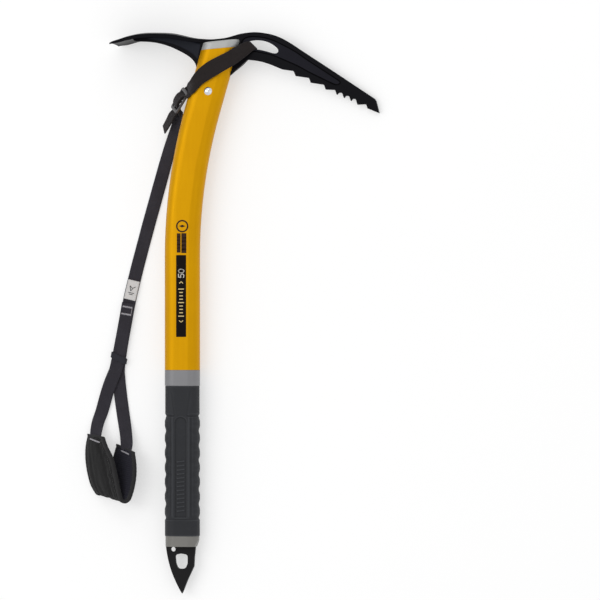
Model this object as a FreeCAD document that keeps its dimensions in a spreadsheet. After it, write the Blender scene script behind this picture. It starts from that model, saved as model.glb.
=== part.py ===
import FreeCAD, Part
import Sketcher
import os
import math
from FreeCAD import Vector as V, Placement, Rotation

# Ice axe. Every rigid piece is drawn in the axe's own plane: X across, +X to the
# pick, Y up the shaft from the tip of the spike, Z square to the head plate.
# One placement then lays the axe on the floor, where it rests on the lower corner
# of the adze, the tip of the pick and the end of the grip.

doc = FreeCAD.newDocument("ice_axe")
sheet = doc.addObject("Spreadsheet::Sheet", "Sizes")
CELLS = [
    # shaft
    ("shaft_width", 32.0), ("shaft_depth", 20.0), ("shaft_wall", 1.5),
    ("neck_width", 28.0), ("neck_depth", 16.0),
    ("shaft_start", 52.0), ("neck_end", 201.9), ("bend_start", 304.0),
    ("bend_radius", 485.0), ("bend_turn", 16.0), ("shaft_top", 56.0),
    # steel
    ("head_thickness", 4.0), ("relief_depth", 0.5), ("spike_thickness", 4.0),
    # fasteners
    ("rivet_radius", 2.5), ("rivet_head_radius", 3.65), ("rivet_head_height", 1.5),
    ("pin_radius", 2.0),
    # grip
    ("grip_width", 32.0), ("grip_depth", 19.6), ("ring_length", 14.3),
    ("grip_panel_depth", 0.45),
    # clearances inside one body
    ("fit_gap", 0.05),
    # resting place: turn about X, turn about Y, then the shift
    ("rest_roll", 5.2639758), ("rest_pitch", 1.2258212),
    ("rest_shift_x", -58.001926), ("rest_shift_y", -253.204962), ("rest_shift_z", 9.258551),
    # leash
    ("webbing_width", 12.3), ("webbing_thickness", 1.3), ("layer_step", 1.45),
    ("slide_width", 16.2), ("slide_length", 22.2), ("slide_thickness", 2.4),
    ("slide_slot", 12.9), ("slide_end_bar", 3.0), ("slide_bar_radius", 1.15),
    ("keeper_length", 5.4), ("keeper_wall", 1.2), ("keeper_play", 0.25),
    ("cuff_thickness", 4.4),
]
for row, (alias, value) in enumerate(CELLS, start=1):
    sheet.set("A%d" % row, alias)
    sheet.set("B%d" % row, str(value))
    sheet.setAlias("B%d" % row, alias)
doc.recompute()


def size(alias):
    return float(sheet.get(alias))


# the axe's resting place on the floor
REST = Placement(V(size("rest_shift_x"), size("rest_shift_y"), size("rest_shift_z")),
                 Rotation(V(0, 1, 0), size("rest_roll")).multiply(Rotation(V(1, 0, 0), size("rest_pitch"))))

NODES = []


def axe_body(name):
    body = doc.addObject("PartDesign::Body", name)
    body.Label = name
    NODES.append(body)
    return body


def plane(body, role):
    for feature in body.Origin.OriginFeatures:
        if feature.Role == role:
            return feature
    raise RuntimeError("no plane " + role)


def sketch(body, name, role="XY_Plane", offset=None):
    made = body.newObject("Sketcher::SketchObject", name)
    made.AttachmentSupport = [(plane(body, role), "")]
    made.MapMode = "FlatFace"
    if offset is not None:
        made.AttachmentOffset = offset
    return made


def pad(body, name, profile, length=None, both=False, expression=None):
    made = body.newObject("PartDesign::Pad", name)
    made.Profile = profile
    made.Midplane = both
    if length is not None:
        made.Length = length
    if expression:
        made.setExpression("Length", expression)
    return made


def pocket(body, name, profile, length=None, both=False, reverse=False, expression=None):
    made = body.newObject("PartDesign::Pocket", name)
    made.Profile = profile
    made.Midplane = both
    made.Reversed = reverse
    if length is not None:
        made.Length = length
    if expression:
        made.setExpression("Length", expression)
    return made


def spline(points):
    curve = Part.BSplineCurve()
    curve.interpolate([V(p[0], p[1], 0) for p in points])
    return curve


def line(a, b):
    return Part.LineSegment(V(a[0], a[1], 0), V(b[0], b[1], 0))


def rounded(points, closed=False):
    """Straight runs through the points, with a tangent arc of the given radius
    at each point that has one."""
    count = len(points)
    corners = []
    for i, item in enumerate(points):
        here = V(item[0], item[1], 0)
        radius = item[2] if len(item) > 2 else 0.0
        if not closed and i in (0, count - 1):
            radius = 0.0
        before = V(*points[i - 1][:2], 0)
        after = V(*points[(i + 1) % count][:2], 0)
        if radius > 0:
            u = (before - here).normalize()
            w = (after - here).normalize()
            half = math.acos(max(-1.0, min(1.0, u.dot(w)))) / 2.0
            back = radius / math.tan(half)
            back = min(back, 0.46 * (before - here).Length, 0.46 * (after - here).Length)
            radius = back * math.tan(half)
            bisector = (u + w).normalize()
            centre = here + bisector * (radius / math.sin(half))
            middle = centre - bisector * radius
            corners.append((here + u * back, middle, here + w * back))
        else:
            corners.append((here, None, here))
    out = []
    for i, (start, middle, end) in enumerate(corners):
        if middle is not None:
            out.append(Part.Arc(start, middle, end))
        if i + 1 < count or closed:
            following = corners[(i + 1) % count][0]
            if (following - end).Length > 1e-6:
                out.append(Part.LineSegment(end, following))
    return out


def add(profile, edges):
    for edge in edges:
        profile.addGeometry(edge, False)


def stadium(profile, width, depth, across=True):
    """A slot-shaped section of constrained lines and arcs, bound to the sheet.
    width and depth are expressions."""
    doc.recompute()
    wide, deep = 30.0, 18.0
    r, h = deep / 2, wide / 2 - deep / 2
    geo = [Part.LineSegment(V(-h, r, 0), V(h, r, 0)),
           Part.ArcOfCircle(Part.Circle(V(h, 0, 0), V(0, 0, 1), r), -math.pi / 2, math.pi / 2),
           Part.LineSegment(V(h, -r, 0), V(-h, -r, 0)),
           Part.ArcOfCircle(Part.Circle(V(-h, 0, 0), V(0, 0, 1), r), math.pi / 2, 3 * math.pi / 2)]
    profile.addGeometry(geo, False)
    C = Sketcher.Constraint
    profile.addConstraint([
        C("Tangent", 0, 2, 1, 2), C("Tangent", 1, 1, 2, 1),
        C("Tangent", 2, 2, 3, 2), C("Tangent", 3, 1, 0, 1),
        C("Horizontal", 0), C("Equal", 1, 3),
        C("Symmetric", 1, 3, 3, 3, -1, 1)])
    index = profile.addConstraint(C("Radius", 1, r))
    profile.setExpression("Constraints[%d]" % index, "(%s) / 2" % depth)
    index = profile.addConstraint(C("DistanceX", 3, 3, 1, 3, 2 * h))
    profile.setExpression("Constraints[%d]" % index, "(%s) - (%s)" % (width, depth))


def circle(profile, x, y, radius=None, expression=None):
    profile.addGeometry(Part.Circle(V(x, y, 0), V(0, 0, 1), radius or 2.0), False)
    index = profile.addConstraint(Sketcher.Constraint("Radius", profile.GeometryCount - 1, radius or 2.0))
    if expression:
        profile.setExpression("Constraints[%d]" % index, expression)


# A section drawn on the XZ plane stands across the shaft; this offset moves it up Y.
def up(height):
    return Placement(V(0, 0, -height), Rotation())


# --- the line of the shaft ---------------------------------------------------
B0, BR = size("bend_start"), size("bend_radius")
TURN = math.radians(size("bend_turn"))
BEND_END = V(BR * (1 - math.cos(TURN)), B0 + BR * math.sin(TURN), 0)
AXIS = V(math.sin(TURN), math.cos(TURN), 0)      # direction of the straight top
ACROSS = V(math.cos(TURN), -math.sin(TURN), 0)   # to its pick side


def top_point(along, across=0.0, z=0.0):
    return BEND_END + AXIS * along + ACROSS * across + V(0, 0, z)


def spine(body, name, start):
    path = sketch(body, name)
    middle = V(BR * (1 - math.cos(TURN / 2)), B0 + BR * math.sin(TURN / 2), 0)
    path.addGeometry([Part.LineSegment(V(0, start, 0), V(0, B0, 0)),
                      Part.Arc(V(0, B0, 0), middle, BEND_END),
                      Part.LineSegment(BEND_END, top_point(size("shaft_top") + 14.0))], False)
    return path


# --- shaft tube ------------------------------------------------------------------
tube = axe_body("shaft_tube")
neck = sketch(tube, "neck_section", "XZ_Plane", up(size("shaft_start")))
stadium(neck, "Sizes.neck_width", "Sizes.neck_depth")
made = pad(tube, "neck", neck, expression="Sizes.neck_end - Sizes.shaft_start")
made.Reversed = True
section = sketch(tube, "shaft_section", "XZ_Plane", up(size("neck_end")))
stadium(section, "Sizes.shaft_width", "Sizes.shaft_depth")
path = spine(tube, "shaft_line", size("neck_end"))
pipe = tube.newObject("PartDesign::AdditivePipe", "shaft_outer")
pipe.Profile = section
pipe.Spine = (path, ["Edge1", "Edge2", "Edge3"])
pipe.Transition = "Transformed"
bore = sketch(tube, "bore_section", "XZ_Plane", up(size("neck_end") + 3.0))
stadium(bore, "Sizes.shaft_width - 2 * Sizes.shaft_wall", "Sizes.shaft_depth - 2 * Sizes.shaft_wall")
path2 = spine(tube, "bore_line", size("neck_end") + 3.0)
pipe2 = tube.newObject("PartDesign::SubtractivePipe", "shaft_bore")
pipe2.Profile = bore
pipe2.Spine = (path2, ["Edge1", "Edge2", "Edge3"])
pipe2.Transition = "Transformed"
small = sketch(tube, "neck_bore_section", "XZ_Plane", up(size("shaft_start") - 1.0))
stadium(small, "Sizes.neck_width - 2 * Sizes.shaft_wall", "Sizes.neck_depth - 2 * Sizes.shaft_wall")
made = pocket(tube, "neck_bore", small, 160.0)
made.Type = "Length"
# the top is cut level with the underside of the head's rim
cut = sketch(tube, "top_cut_outline")
add(cut, rounded([(-20, 487.11), (70, 494.67), (70, 560), (-20, 560)], closed=True))
pocket(tube, "top_cut", cut, 60.0, both=True)
# slots where the head's plate passes out on the adze side and on the pick side
slot = sketch(tube, "adze_slot_outline")
add(slot, rounded([(-5, 474.8), (12.6, 474.8), (16.2, 472.0), (24.0, 472.0), (24.0, 500), (-5, 500)], closed=True))
pocket(tube, "adze_slot", slot, both=True, expression="Sizes.head_thickness + 2 * Sizes.fit_gap")
slot = sketch(tube, "pick_slot_outline")
add(slot, rounded([(36.0, 463.4), (39.0, 463.4), (45.6, 468.0), (60.0, 468.0), (60.0, 500), (36.0, 500)], closed=True))
pocket(tube, "pick_slot", slot, both=True, expression="Sizes.head_thickness + 2 * Sizes.fit_gap")
RIVETS = [top_point(16.7, 1.8), top_point(38.0, 0.0)]
holes = sketch(tube, "rivet_holes")
for point in RIVETS:
    circle(holes, point.x, point.y, 2.5, "Sizes.rivet_radius")
pocket(tube, "rivet_holes_cut", holes, 40.0, both=True)
PINS = [(0.0, 68.0), (0.0, 84.0)]
holes = sketch(tube, "pin_holes")
for x, y in PINS:
    circle(holes, x, y, 2.0, "Sizes.pin_radius")
pocket(tube, "pin_holes_cut", holes, 40.0, both=True)

# --- head: pick, adze, web and tang in one piece of steel -----------------------
head = axe_body("head_plate_design")
TOP = [(-46.9, 502.9), (-43.26, 503.8), (-39.62, 504.35), (-32.33, 505.3), (-25.04, 505.5), (-17.76, 505.4),
       (-10.47, 505.1), (-3.19, 504.0), (4.1, 502.6), (11.38, 501.3), (18.67, 500.58), (25.96, 500.18),
       (34.15, 500.67), (42.35, 501.93), (50.54, 504.27), (58.74, 505.8), (66.94, 506.34), (75.13, 505.53),
       (83.33, 503.73), (91.53, 500.4), (99.72, 495.72), (107.92, 490.23)]
WEB = [(13.0, 475.29), (11.2, 479.97), (7.74, 483.66), (4.1, 486.27), (-3.19, 490.23), (-10.47, 493.56),
       (-17.76, 495.99), (-25.04, 497.61), (-32.33, 498.42), (-39.62, 498.69), (-43.5, 499.0)]
LOW = [(60.11, 481.5), (64.21, 481.05), (69.67, 480.24), (75.13, 478.89), (80.6, 477.09), (86.06, 474.84),
       (91.53, 472.59)]
TEETH = [(91.53, 472.59, 0), (101.91, 471.06, 1.6), (103.73, 466.56, 0.35), (115.93, 464.76, 1.6),
         (117.48, 460.44, 0.35), (129.6, 458.55, 1.6), (131.05, 454.23, 0.35), (139.7, 453.87, 1.6),
         (141.25, 449.2, 0.3), (142.71, 451.1, 1.3), (145.9, 451.5, 1.5), (147.81, 446.2, 0.3),
         (149.08, 448.4, 1.3), (152.36, 448.5, 1.5), (154.0, 443.5, 0.3), (155.37, 445.7, 1.3),
         (158.37, 445.7, 1.5), (159.92, 440.5, 0.3), (167.85, 440.95, 1.6), (169.03, 437.13, 0.3),
         (179.69, 432.72, 0)]
outline = sketch(head, "head_outline")
add(outline, [spline(TOP)])
add(outline, rounded([TOP[-1], (135.24, 472.41), (175.4, 445.77, 2.2), (176.9, 443.6, 1.0), (179.69, 432.72)])[0:])
add(outline, rounded(TEETH))
add(outline, [spline(LOW)])
# the plate runs from the corner below the hole to the shaft, and the tang goes down inside it
tang_foot = [top_point(4.0, 9.0), top_point(4.0, -9.0)]
add(outline, [line(LOW[0], (45.2, 468.45))])
add(outline, [line((45.2, 468.45), (top_point(30.8, 12.0).x, top_point(30.8, 12.0).y))])
add(outline, rounded([(top_point(30.8, 12.0).x, top_point(30.8, 12.0).y),
                      (tang_foot[0].x, tang_foot[0].y, 3.0), (tang_foot[1].x, tang_foot[1].y, 3.0),
                      (top_point(33.0, -12.0).x, top_point(33.0, -12.0).y)]))
add(outline, [line((top_point(33.0, -12.0).x, top_point(33.0, -12.0).y), WEB[0])])
add(outline, [spline(WEB), line(WEB[-1], TOP[0])])
pad(head, "plate", outline, both=True, expression="Sizes.head_thickness")
HOLE = [(60.56, 497.97), (64.21, 498.78), (69.67, 499.05), (75.13, 498.24), (80.6, 496.26), (84.24, 494.01),
        (87.06, 491.49), (87.88, 489.51), (87.06, 487.71), (85.15, 487.08), (80.6, 487.98), (75.13, 489.51),
        (69.67, 490.68), (64.66, 490.6), (59.8, 489.2), (57.2, 490.2), (56.4, 493.0), (57.9, 496.2)]
hole = sketch(head, "clip_hole_outline")
loop = Part.BSplineCurve()
loop.interpolate([V(x, y, 0) for x, y in HOLE], PeriodicFlag=True)
hole.addGeometry(loop, False)
pocket(head, "clip_hole", hole, 20.0, both=True)
PANEL = [(53.5, 492.5), (54.2, 497.7), (56.2, 500.6), (58.83, 502.11), (63.3, 502.92), (68.58, 502.74),
         (74.68, 501.93), (80.78, 500.31), (86.88, 497.88), (92.89, 494.91), (99.09, 491.67), (105.19, 488.07),
         (114.75, 481.41), (127.5, 473.13), (137.15, 466.83), (143.0, 462.9), (144.9, 460.6), (143.2, 458.5),
         (140.25, 458.01), (133.88, 460.53), (127.5, 463.68), (114.75, 469.98), (105.19, 475.2), (97.08, 478.8),
         (88.89, 482.4), (82.88, 484.83), (76.77, 486.45), (71.04, 487.62), (65.75, 488.4), (58.5, 487.3),
         (54.8, 488.6)]
for side, reverse in ((1, False), (-1, True)):
    relief = sketch(head, "relief_%s" % ("front" if side > 0 else "rear"), "XY_Plane",
                    Placement(V(0, 0, side * size("head_thickness") / 2), Rotation()))
    loop = Part.BSplineCurve()
    loop.interpolate([V(x, y, 0) for x, y in PANEL], PeriodicFlag=True)
    relief.addGeometry(loop, False)
    pocket(head, "relief_cut_%s" % ("front" if side > 0 else "rear"), relief, reverse=reverse,
           expression="Sizes.relief_depth")
holes = sketch(head, "head_rivet_holes")
for point in RIVETS:
    circle(holes, point.x, point.y, 2.5, "Sizes.rivet_radius")
pocket(head, "head_rivet_holes_cut", holes, 20.0, both=True)

doc.recompute()


# the adze: arched sections set square to its line, wide at the cutting edge
ADZE = [  # x, y of the crown, half width, droop of the sides, thickness, slope of the line
    (-64.0, 497.4, 23.2, 1.6, 0.9), (-61.3, 499.2, 24.6, 1.7, 1.7), (-56.0, 500.9, 25.0, 1.8, 2.6),
    (-50.5, 502.74, 24.6, 1.8, 3.0), (-43.0, 504.8, 23.4, 1.8, 3.3), (-32.33, 506.34, 21.2, 1.7, 3.4),
    (-21.0, 506.5, 18.6, 1.6, 3.5), (-10.47, 506.07, 15.6, 1.5, 3.5), (0.0, 504.25, 12.2, 1.2, 3.4),
    (9.0, 502.05, 8.4, 0.8, 3.2), (16.0, 500.85, 4.8, 0.35, 3.0), (20.5, 500.45, 2.3, 0.1, 2.8)]


def adze_section(index):
    x, y, half, droop, thick = ADZE[index]
    before = ADZE[max(index - 1, 0)]
    after = ADZE[min(index + 1, len(ADZE) - 1)]
    along = V(after[0] - before[0], after[1] - before[1], 0).normalize()
    normal = V(-along.y, along.x, 0)
    crown = V(x, y, 0)
    upper, lower = [], []
    for k in range(9):
        z = half * (k - 4) / 4.0
        sag = droop * ((k - 4) / 4.0) ** 2
        upper.append(crown - normal * sag + V(0, 0, z))
        lower.append(crown - normal * (sag + thick) + V(0, 0, z * 0.975))
    lower.reverse()
    a, b = Part.BSplineCurve(), Part.BSplineCurve()
    a.interpolate(upper)
    b.interpolate(lower)
    return Part.Wire([a.toShape(), Part.LineSegment(upper[-1], lower[0]).toShape(),
                      b.toShape(), Part.LineSegment(lower[-1], upper[0]).toShape()])


blade = Part.makeLoft([adze_section(i) for i in range(len(ADZE))], True, False)
plate_shape = head.Shape.copy()
fused = plate_shape.fuse(blade).removeSplitter()
# round the two corners of the cutting edge in plan
corner_cut = []
for side in (1, -1):
    pts = [V(-75, 470, side * 18.6), V(-62.3, 470, side * 18.6)]
    a = V(-62.3, 470, side * 18.6)
    centre = V(-57.3, 470, side * 19.6)
    end = V(-57.0, 470, side * 25.6)
    mid = V(-61.0, 470, side * 23.6)
    arc = Part.Arc(V(-64.6, 470, side * 17.0), mid, V(-55.5, 470, side * 25.4))
    box = Part.Wire([arc.toShape(), Part.LineSegment(V(-55.5, 470, side * 25.4), V(-55.5, 470, side * 40)).toShape(),
                     Part.LineSegment(V(-55.5, 470, side * 40), V(-80, 470, side * 40)).toShape(),
                     Part.LineSegment(V(-80, 470, side * 40), V(-80, 470, side * 17)).toShape(),
                     Part.LineSegment(V(-80, 470, side * 17), V(-64.6, 470, side * 17)).toShape()])
    corner_cut.append(Part.Face(box).extrude(V(0, 60, 0)))
fused = fused.cut(corner_cut[0]).cut(corner_cut[1])
head_solid = fused.Solids[0]
NODES.remove(head)
head_part = doc.addObject("Part::Feature", "head_forging")
head_part.Shape = head_solid
head_part.Label = "head"

head_part.Placement = Placement()
NODES.append(head_part)
head_whole = head_part

# --- aluminium inserts, front and rear of the tang -------------------------------
for side, name in ((1, "head_insert_front"), (-1, "head_insert_rear")):
    body = axe_body(name)
    inner = sketch(body, name + "_inner", "XY_Plane")
    stadium(inner, "Sizes.shaft_width - 2 * Sizes.shaft_wall - 2 * Sizes.fit_gap",
            "Sizes.shaft_depth - 2 * Sizes.shaft_wall - 2 * Sizes.fit_gap")
    pad(body, name + "_plug", inner, 60.0)
    outer = sketch(body, name + "_outer", "XY_Plane", Placement(V(0, 0, 30.0), Rotation()))
    stadium(outer, "Sizes.shaft_width - 0.2", "Sizes.shaft_depth - 0.2")
    pad(body, name + "_cap", outer, 40.0)
    NODES.remove(body)
    body.Label = name + "_design"
doc.recompute()

# the inserts stand along the straight top of the shaft
LOCAL = FreeCAD.Matrix(ACROSS.x, 0, AXIS.x, BEND_END.x,
                       ACROSS.y, 0, AXIS.y, BEND_END.y,
                       0, -1, 0, 0,
                       0, 0, 0, 1)
LOCAL_PLACE = Placement(LOCAL)


def prism(points, low, high):
    wire = Part.makePolygon([V(x, y, low) for x, y in points] + [V(points[0][0], points[0][1], low)])
    return Part.Face(wire).extrude(V(0, 0, high - low))


for side, name in ((1, "head_insert_front"), (-1, "head_insert_rear")):
    body = doc.getObject(name)
    section_in = doc.getObject(name + "_plug").Shape.copy()
    cap = doc.getObject(name + "_cap").Shape.copy()
    gap = size("head_thickness") / 2 + size("fit_gap")
    low, high = (gap, 15.0) if side > 0 else (-15.0, -gap)
    plug = section_in.copy()
    plug.Placement = LOCAL_PLACE
    whole = cap.copy()
    whole.Placement = LOCAL_PLACE
    # plug: below the shaft's cut end; cap: between that end and the head's rim
    below = prism([(-20, 430), (80, 430), (80, 495.56), (-20, 487.16)], low, high)
    above = prism([(-20, 487.16), (80, 495.56), (80, 502.85), (-20, 493.35)], low, high)
    start = prism([(top_point(7, -30).x, top_point(7, -30).y), (top_point(7, 30).x, top_point(7, 30).y),
                   (top_point(90, 30).x, top_point(90, 30).y), (top_point(90, -30).x, top_point(90, -30).y)],
                  low, high)
    plug = plug.common(below).common(start)
    cap_solid = whole.common(above)
    shape = plug.fuse(cap_solid).removeSplitter()
    for point in RIVETS:
        shape = shape.cut(Part.makeCylinder(size("rivet_radius"), 40, V(point.x, point.y, -20)))
    solid = shape.Solids[0]
    # the exposed top edge is rounded over
    edges = []
    for edge in solid.Edges:
        box = edge.BoundBox
        if box.YMin > 492.0 and edge.Length > 6 and abs((box.ZMin + box.ZMax) / 2) > 4.0 \
                and abs(edge.valueAt(edge.FirstParameter).y - (493.35 + (edge.valueAt(edge.FirstParameter).x + 20) * 0.095)) < 0.4:
            edges.append(edge)
    try:
        solid = solid.makeFillet(1.6, edges).Solids[0]
    except Exception as error:
        print("insert fillet skipped", error)
    part = doc.addObject("Part::Feature", name + "_solid")
    part.Shape = solid
    part.Label = name
    NODES.append(part)

# --- rivets through the shaft, the inserts and the tang ---------------------------


def button_rivets(name, points, shank, head_radius, head_height, reach):
    parts = []
    for x, y in points:
        shaft = Part.makeCylinder(shank, 2 * reach, V(x, y, -reach))
        shape = shaft
        for side in (1, -1):
            ball = (head_radius ** 2 + head_height ** 2) / (2 * head_height)
            sphere = Part.makeSphere(ball, V(x, y, side * (reach + head_height - ball)))
            keep = Part.makeCylinder(head_radius, head_height, V(x, y, reach if side > 0 else -reach - head_height))
            shape = shape.fuse(sphere.common(keep))
        parts.append(shape.removeSplitter().Solids[0])
    part = doc.addObject("Part::Feature", name + "_solid")
    part.Shape = Part.makeCompound(parts)
    part.Label = name
    NODES.append(part)


button_rivets("head_rivets", [(p.x, p.y) for p in RIVETS], size("rivet_radius"),
              size("rivet_head_radius"), size("rivet_head_height"), size("shaft_depth") / 2)

# --- spike ------------------------------------------------------------------------
spike = axe_body("spike")
outline = sketch(spike, "spike_outline")
RIGHT = [(0.0, 0.0), (1.64, 3.6), (4.46, 10.8), (7.74, 18.0), (10.93, 24.75)]
LEFT = [(-14.75, 42.45), (-14.12, 37.8), (-13.48, 34.2), (-11.84, 27.0), (-8.93, 18.0), (-5.83, 10.8),
        (-2.19, 3.6), (0.0, 0.0)]
add(outline, [spline(RIGHT), spline([(10.93, 24.75), (11.11, 28.8), (11.29, 32.4), (11.84, 37.8), (12.3, 42.45)])])
add(outline, rounded([(12.3, 42.45), (10.5, 42.45), (10.0, 95.0, 3.0), (-10.0, 95.0, 3.0), (-10.5, 42.45),
                      (-14.75, 42.45)]))
add(outline, [spline(LEFT)])
pad(spike, "spike_plate", outline, both=True, expression="Sizes.spike_thickness")
holes = sketch(spike, "spike_holes")
circle(holes, -8.11, 40.0, 2.15)
for x, y in PINS:
    circle(holes, x, y, 2.0, "Sizes.pin_radius")
pocket(spike, "spike_holes_cut", holes, 20.0, both=True)
clip = sketch(spike, "clip_outline")
add(clip, rounded([(-6.3, 35.0, 2.2), (-0.8, 36.2, 6.0), (5.1, 35.0, 2.4), (5.1, 27.2, 3.0), (3.2, 22.6, 3.6),
                   (-3.6, 22.3, 4.0), (-5.6, 27.6, 4.0)], closed=True))
pocket(spike, "clip_slot", clip, 20.0, both=True)

# --- end ferrule with its plug --------------------------------------------------------
ferrule = axe_body("spike_ferrule")
base = sketch(ferrule, "ferrule_section", "XZ_Plane", up(42.5))
stadium(base, "Sizes.shaft_width - 1.3", "Sizes.shaft_depth - 1.0")
made = pad(ferrule, "ferrule_collar", base, 9.45)
made.Reversed = True
plug = sketch(ferrule, "plug_section", "XZ_Plane", up(51.9))
stadium(plug, "Sizes.neck_width - 2 * Sizes.shaft_wall - 2 * Sizes.fit_gap",
        "Sizes.neck_depth - 2 * Sizes.shaft_wall - 2 * Sizes.fit_gap")
made = pad(ferrule, "ferrule_plug", plug, 46.0)
made.Reversed = True
slot = sketch(ferrule, "spike_slot_outline")
add(slot, rounded([(-10.6, 41.0), (10.6, 41.0), (10.1, 95.3), (-10.1, 95.3)], closed=True))
pocket(ferrule, "spike_slot", slot, both=True, expression="Sizes.spike_thickness + 2 * Sizes.fit_gap")
trim = sketch(ferrule, "ferrule_trim")
add(trim, rounded([(15.6, 49.8), (12.3, 42.4), (12.3, 40.0), (20.0, 40.0), (20.0, 49.8)], closed=True))
add(trim, rounded([(-15.4, 48.0), (-14.75, 42.4), (-14.75, 40.0), (-20.0, 40.0), (-20.0, 48.0)], closed=True))
pocket(ferrule, "ferrule_trim_cut", trim, 40.0, both=True)
holes = sketch(ferrule, "ferrule_pin_holes")
for x, y in PINS:
    circle(holes, x, y, 2.0, "Sizes.pin_radius")
pocket(ferrule, "ferrule_pin_holes_cut", holes, 40.0, both=True)

# --- cross pins ------------------------------------------------------------------------
pins = Part.makeCompound([Part.makeCylinder(size("pin_radius"), size("neck_depth") - 0.2,
                                            V(x, y, -size("neck_depth") / 2 + 0.1)) for x, y in PINS])
part = doc.addObject("Part::Feature", "spike_pins_solid")
part.Shape = pins
part.Label = "spike_pins"
NODES.append(part)

# --- grip sleeve and the ring above it -----------------------------------------------------
grip = axe_body("grip_sleeve")
base = sketch(grip, "grip_section", "XZ_Plane", up(size("shaft_start")))
stadium(base, "Sizes.grip_width", "Sizes.grip_depth")
made = pad(grip, "grip_outer", base, expression="Sizes.neck_end - Sizes.ring_length - Sizes.shaft_start")
made.Reversed = True
bore = sketch(grip, "grip_bore_section", "XZ_Plane", up(size("shaft_start") - 1))
stadium(bore, "Sizes.neck_width + 2 * Sizes.fit_gap", "Sizes.neck_depth + 2 * Sizes.fit_gap")
pocket(grip, "grip_bore", bore, 170.0)
# scalloped sides: seven swells with shallow valleys between them
PEAKS = [74.3, 87.5, 101.0, 113.8, 127.0, 140.5, 153.5]
top_y = size("neck_end") - size("ring_length")
for side in (1, -1):
    line_points = []
    for peak in PEAKS:
        line_points += [(side * 15.95, peak)]
    pts = [(side * 15.85, 52.0), (side * 15.85, 66.5), (side * 15.15, 68.2)]
    for i, peak in enumerate(PEAKS):
        pts.append((side * 15.9, peak - 2.2))
        pts.append((side * 15.9, peak + 2.2))
        if i < len(PEAKS) - 1:
            pts.append((side * 15.15, (peak + PEAKS[i + 1]) / 2))
    pts += [(side * 15.2, 160.5), (side * 15.45, 163.0), (side * 15.6, top_y)]
    edge = sketch(grip, "scallops_%s" % ("right" if side > 0 else "left"))
    add(edge, [spline(pts)])
    add(edge, rounded([pts[-1], (side * 15.6, top_y + 2), (side * 20, top_y + 2), (side * 20, 50), (side * 15.85, 50), pts[0]]))
    pocket(grip, "scallop_cut_%s" % ("right" if side > 0 else "left"), edge, 40.0, both=True)
# the long recessed panel, front and rear
for side, reverse in ((1, False), (-1, True)):
    word = "front" if side > 0 else "rear"
    panel = sketch(grip, "panel_" + word, "XY_Plane", Placement(V(0, 0, side * size("grip_depth") / 2), Rotation()))
    add(panel, rounded([(-5.4, 69.0, 1.2), (5.4, 69.0, 1.2), (5.4, 159.5, 5.0), (-5.4, 159.5, 5.0)], closed=True))
    pocket(grip, "panel_cut_" + word, panel, reverse=reverse, expression="Sizes.grip_panel_depth")

ring = axe_body("grip_collar")
base = sketch(ring, "ring_section", "XZ_Plane", up(top_y))
stadium(base, "Sizes.shaft_width", "Sizes.shaft_depth")
made = pad(ring, "ring_outer", base, expression="Sizes.ring_length")
made.Reversed = True
bore = sketch(ring, "ring_bore_section", "XZ_Plane", up(top_y - 1))
stadium(bore, "Sizes.neck_width + 2 * Sizes.fit_gap", "Sizes.neck_depth + 2 * Sizes.fit_gap")
pocket(ring, "ring_bore", bore, 40.0)

# --- printed marks on the flat of the shaft ---------------------------------------------------
label = axe_body("size_label")
outline = sketch(label, "label_outline", "XY_Plane", Placement(V(0, 0, size("shaft_depth") / 2), Rotation()))
add(outline, rounded([(-3.95, 231.75, 0.6), (5.15, 231.75, 0.6), (5.15, 305.55, 0.6), (-3.95, 305.55, 0.6)], closed=True))
pad(label, "label_film", outline, 0.12)
mark = axe_body("rating_mark")
outline = sketch(mark, "mark_outline", "XY_Plane", Placement(V(0, 0, size("shaft_depth") / 2), Rotation()))
circle(outline, 1.6, 331.6, 5.3)
circle(outline, 1.6, 331.6, 4.5)
pad(mark, "mark_film", outline, 0.12)


# --- leash ------------------------------------------------------------------------------------
# The leash is drawn where it lies, with the floor at Z = 0. One webbing makes the wrist
# loop, the strap, the turn through the head's hole and the free tail.
WIDE, THICK, STEP = size("webbing_width"), size("webbing_thickness"), size("layer_step")


def leash_node(name, shape):
    made = doc.addObject("Part::Feature", name + "_solid")
    made.Shape = shape
    made.Label = name
    LEASH.append(made)
    return made


LEASH = []


def triangle_solid(rings, caps=True):
    """A closed solid through rings of four corners, with flat facets."""
    faces = []

    def facet(*corners):
        wire = Part.makePolygon(list(corners) + [corners[0]])
        faces.append(Part.Face(wire))

    def quad(a, b, c, d):
        normal = (b - a).cross(c - a)
        if normal.Length > 1e-9 and abs((d - a).dot(normal.normalize())) < 1e-6:
            facet(a, b, c, d)
        else:
            facet(a, b, c)
            facet(a, c, d)

    for first, second in zip(rings[:-1], rings[1:]):
        count = len(first)
        for k in range(count):
            quad(first[k], first[(k + 1) % count], second[(k + 1) % count], second[k])
    quad(*reversed(rings[0]))
    quad(*rings[-1])
    shell = Part.makeShell(faces)
    shell.sewShape()
    solid = Part.makeSolid(shell)
    if solid.Volume < 0:
        solid.reverse()
    return solid


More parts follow.
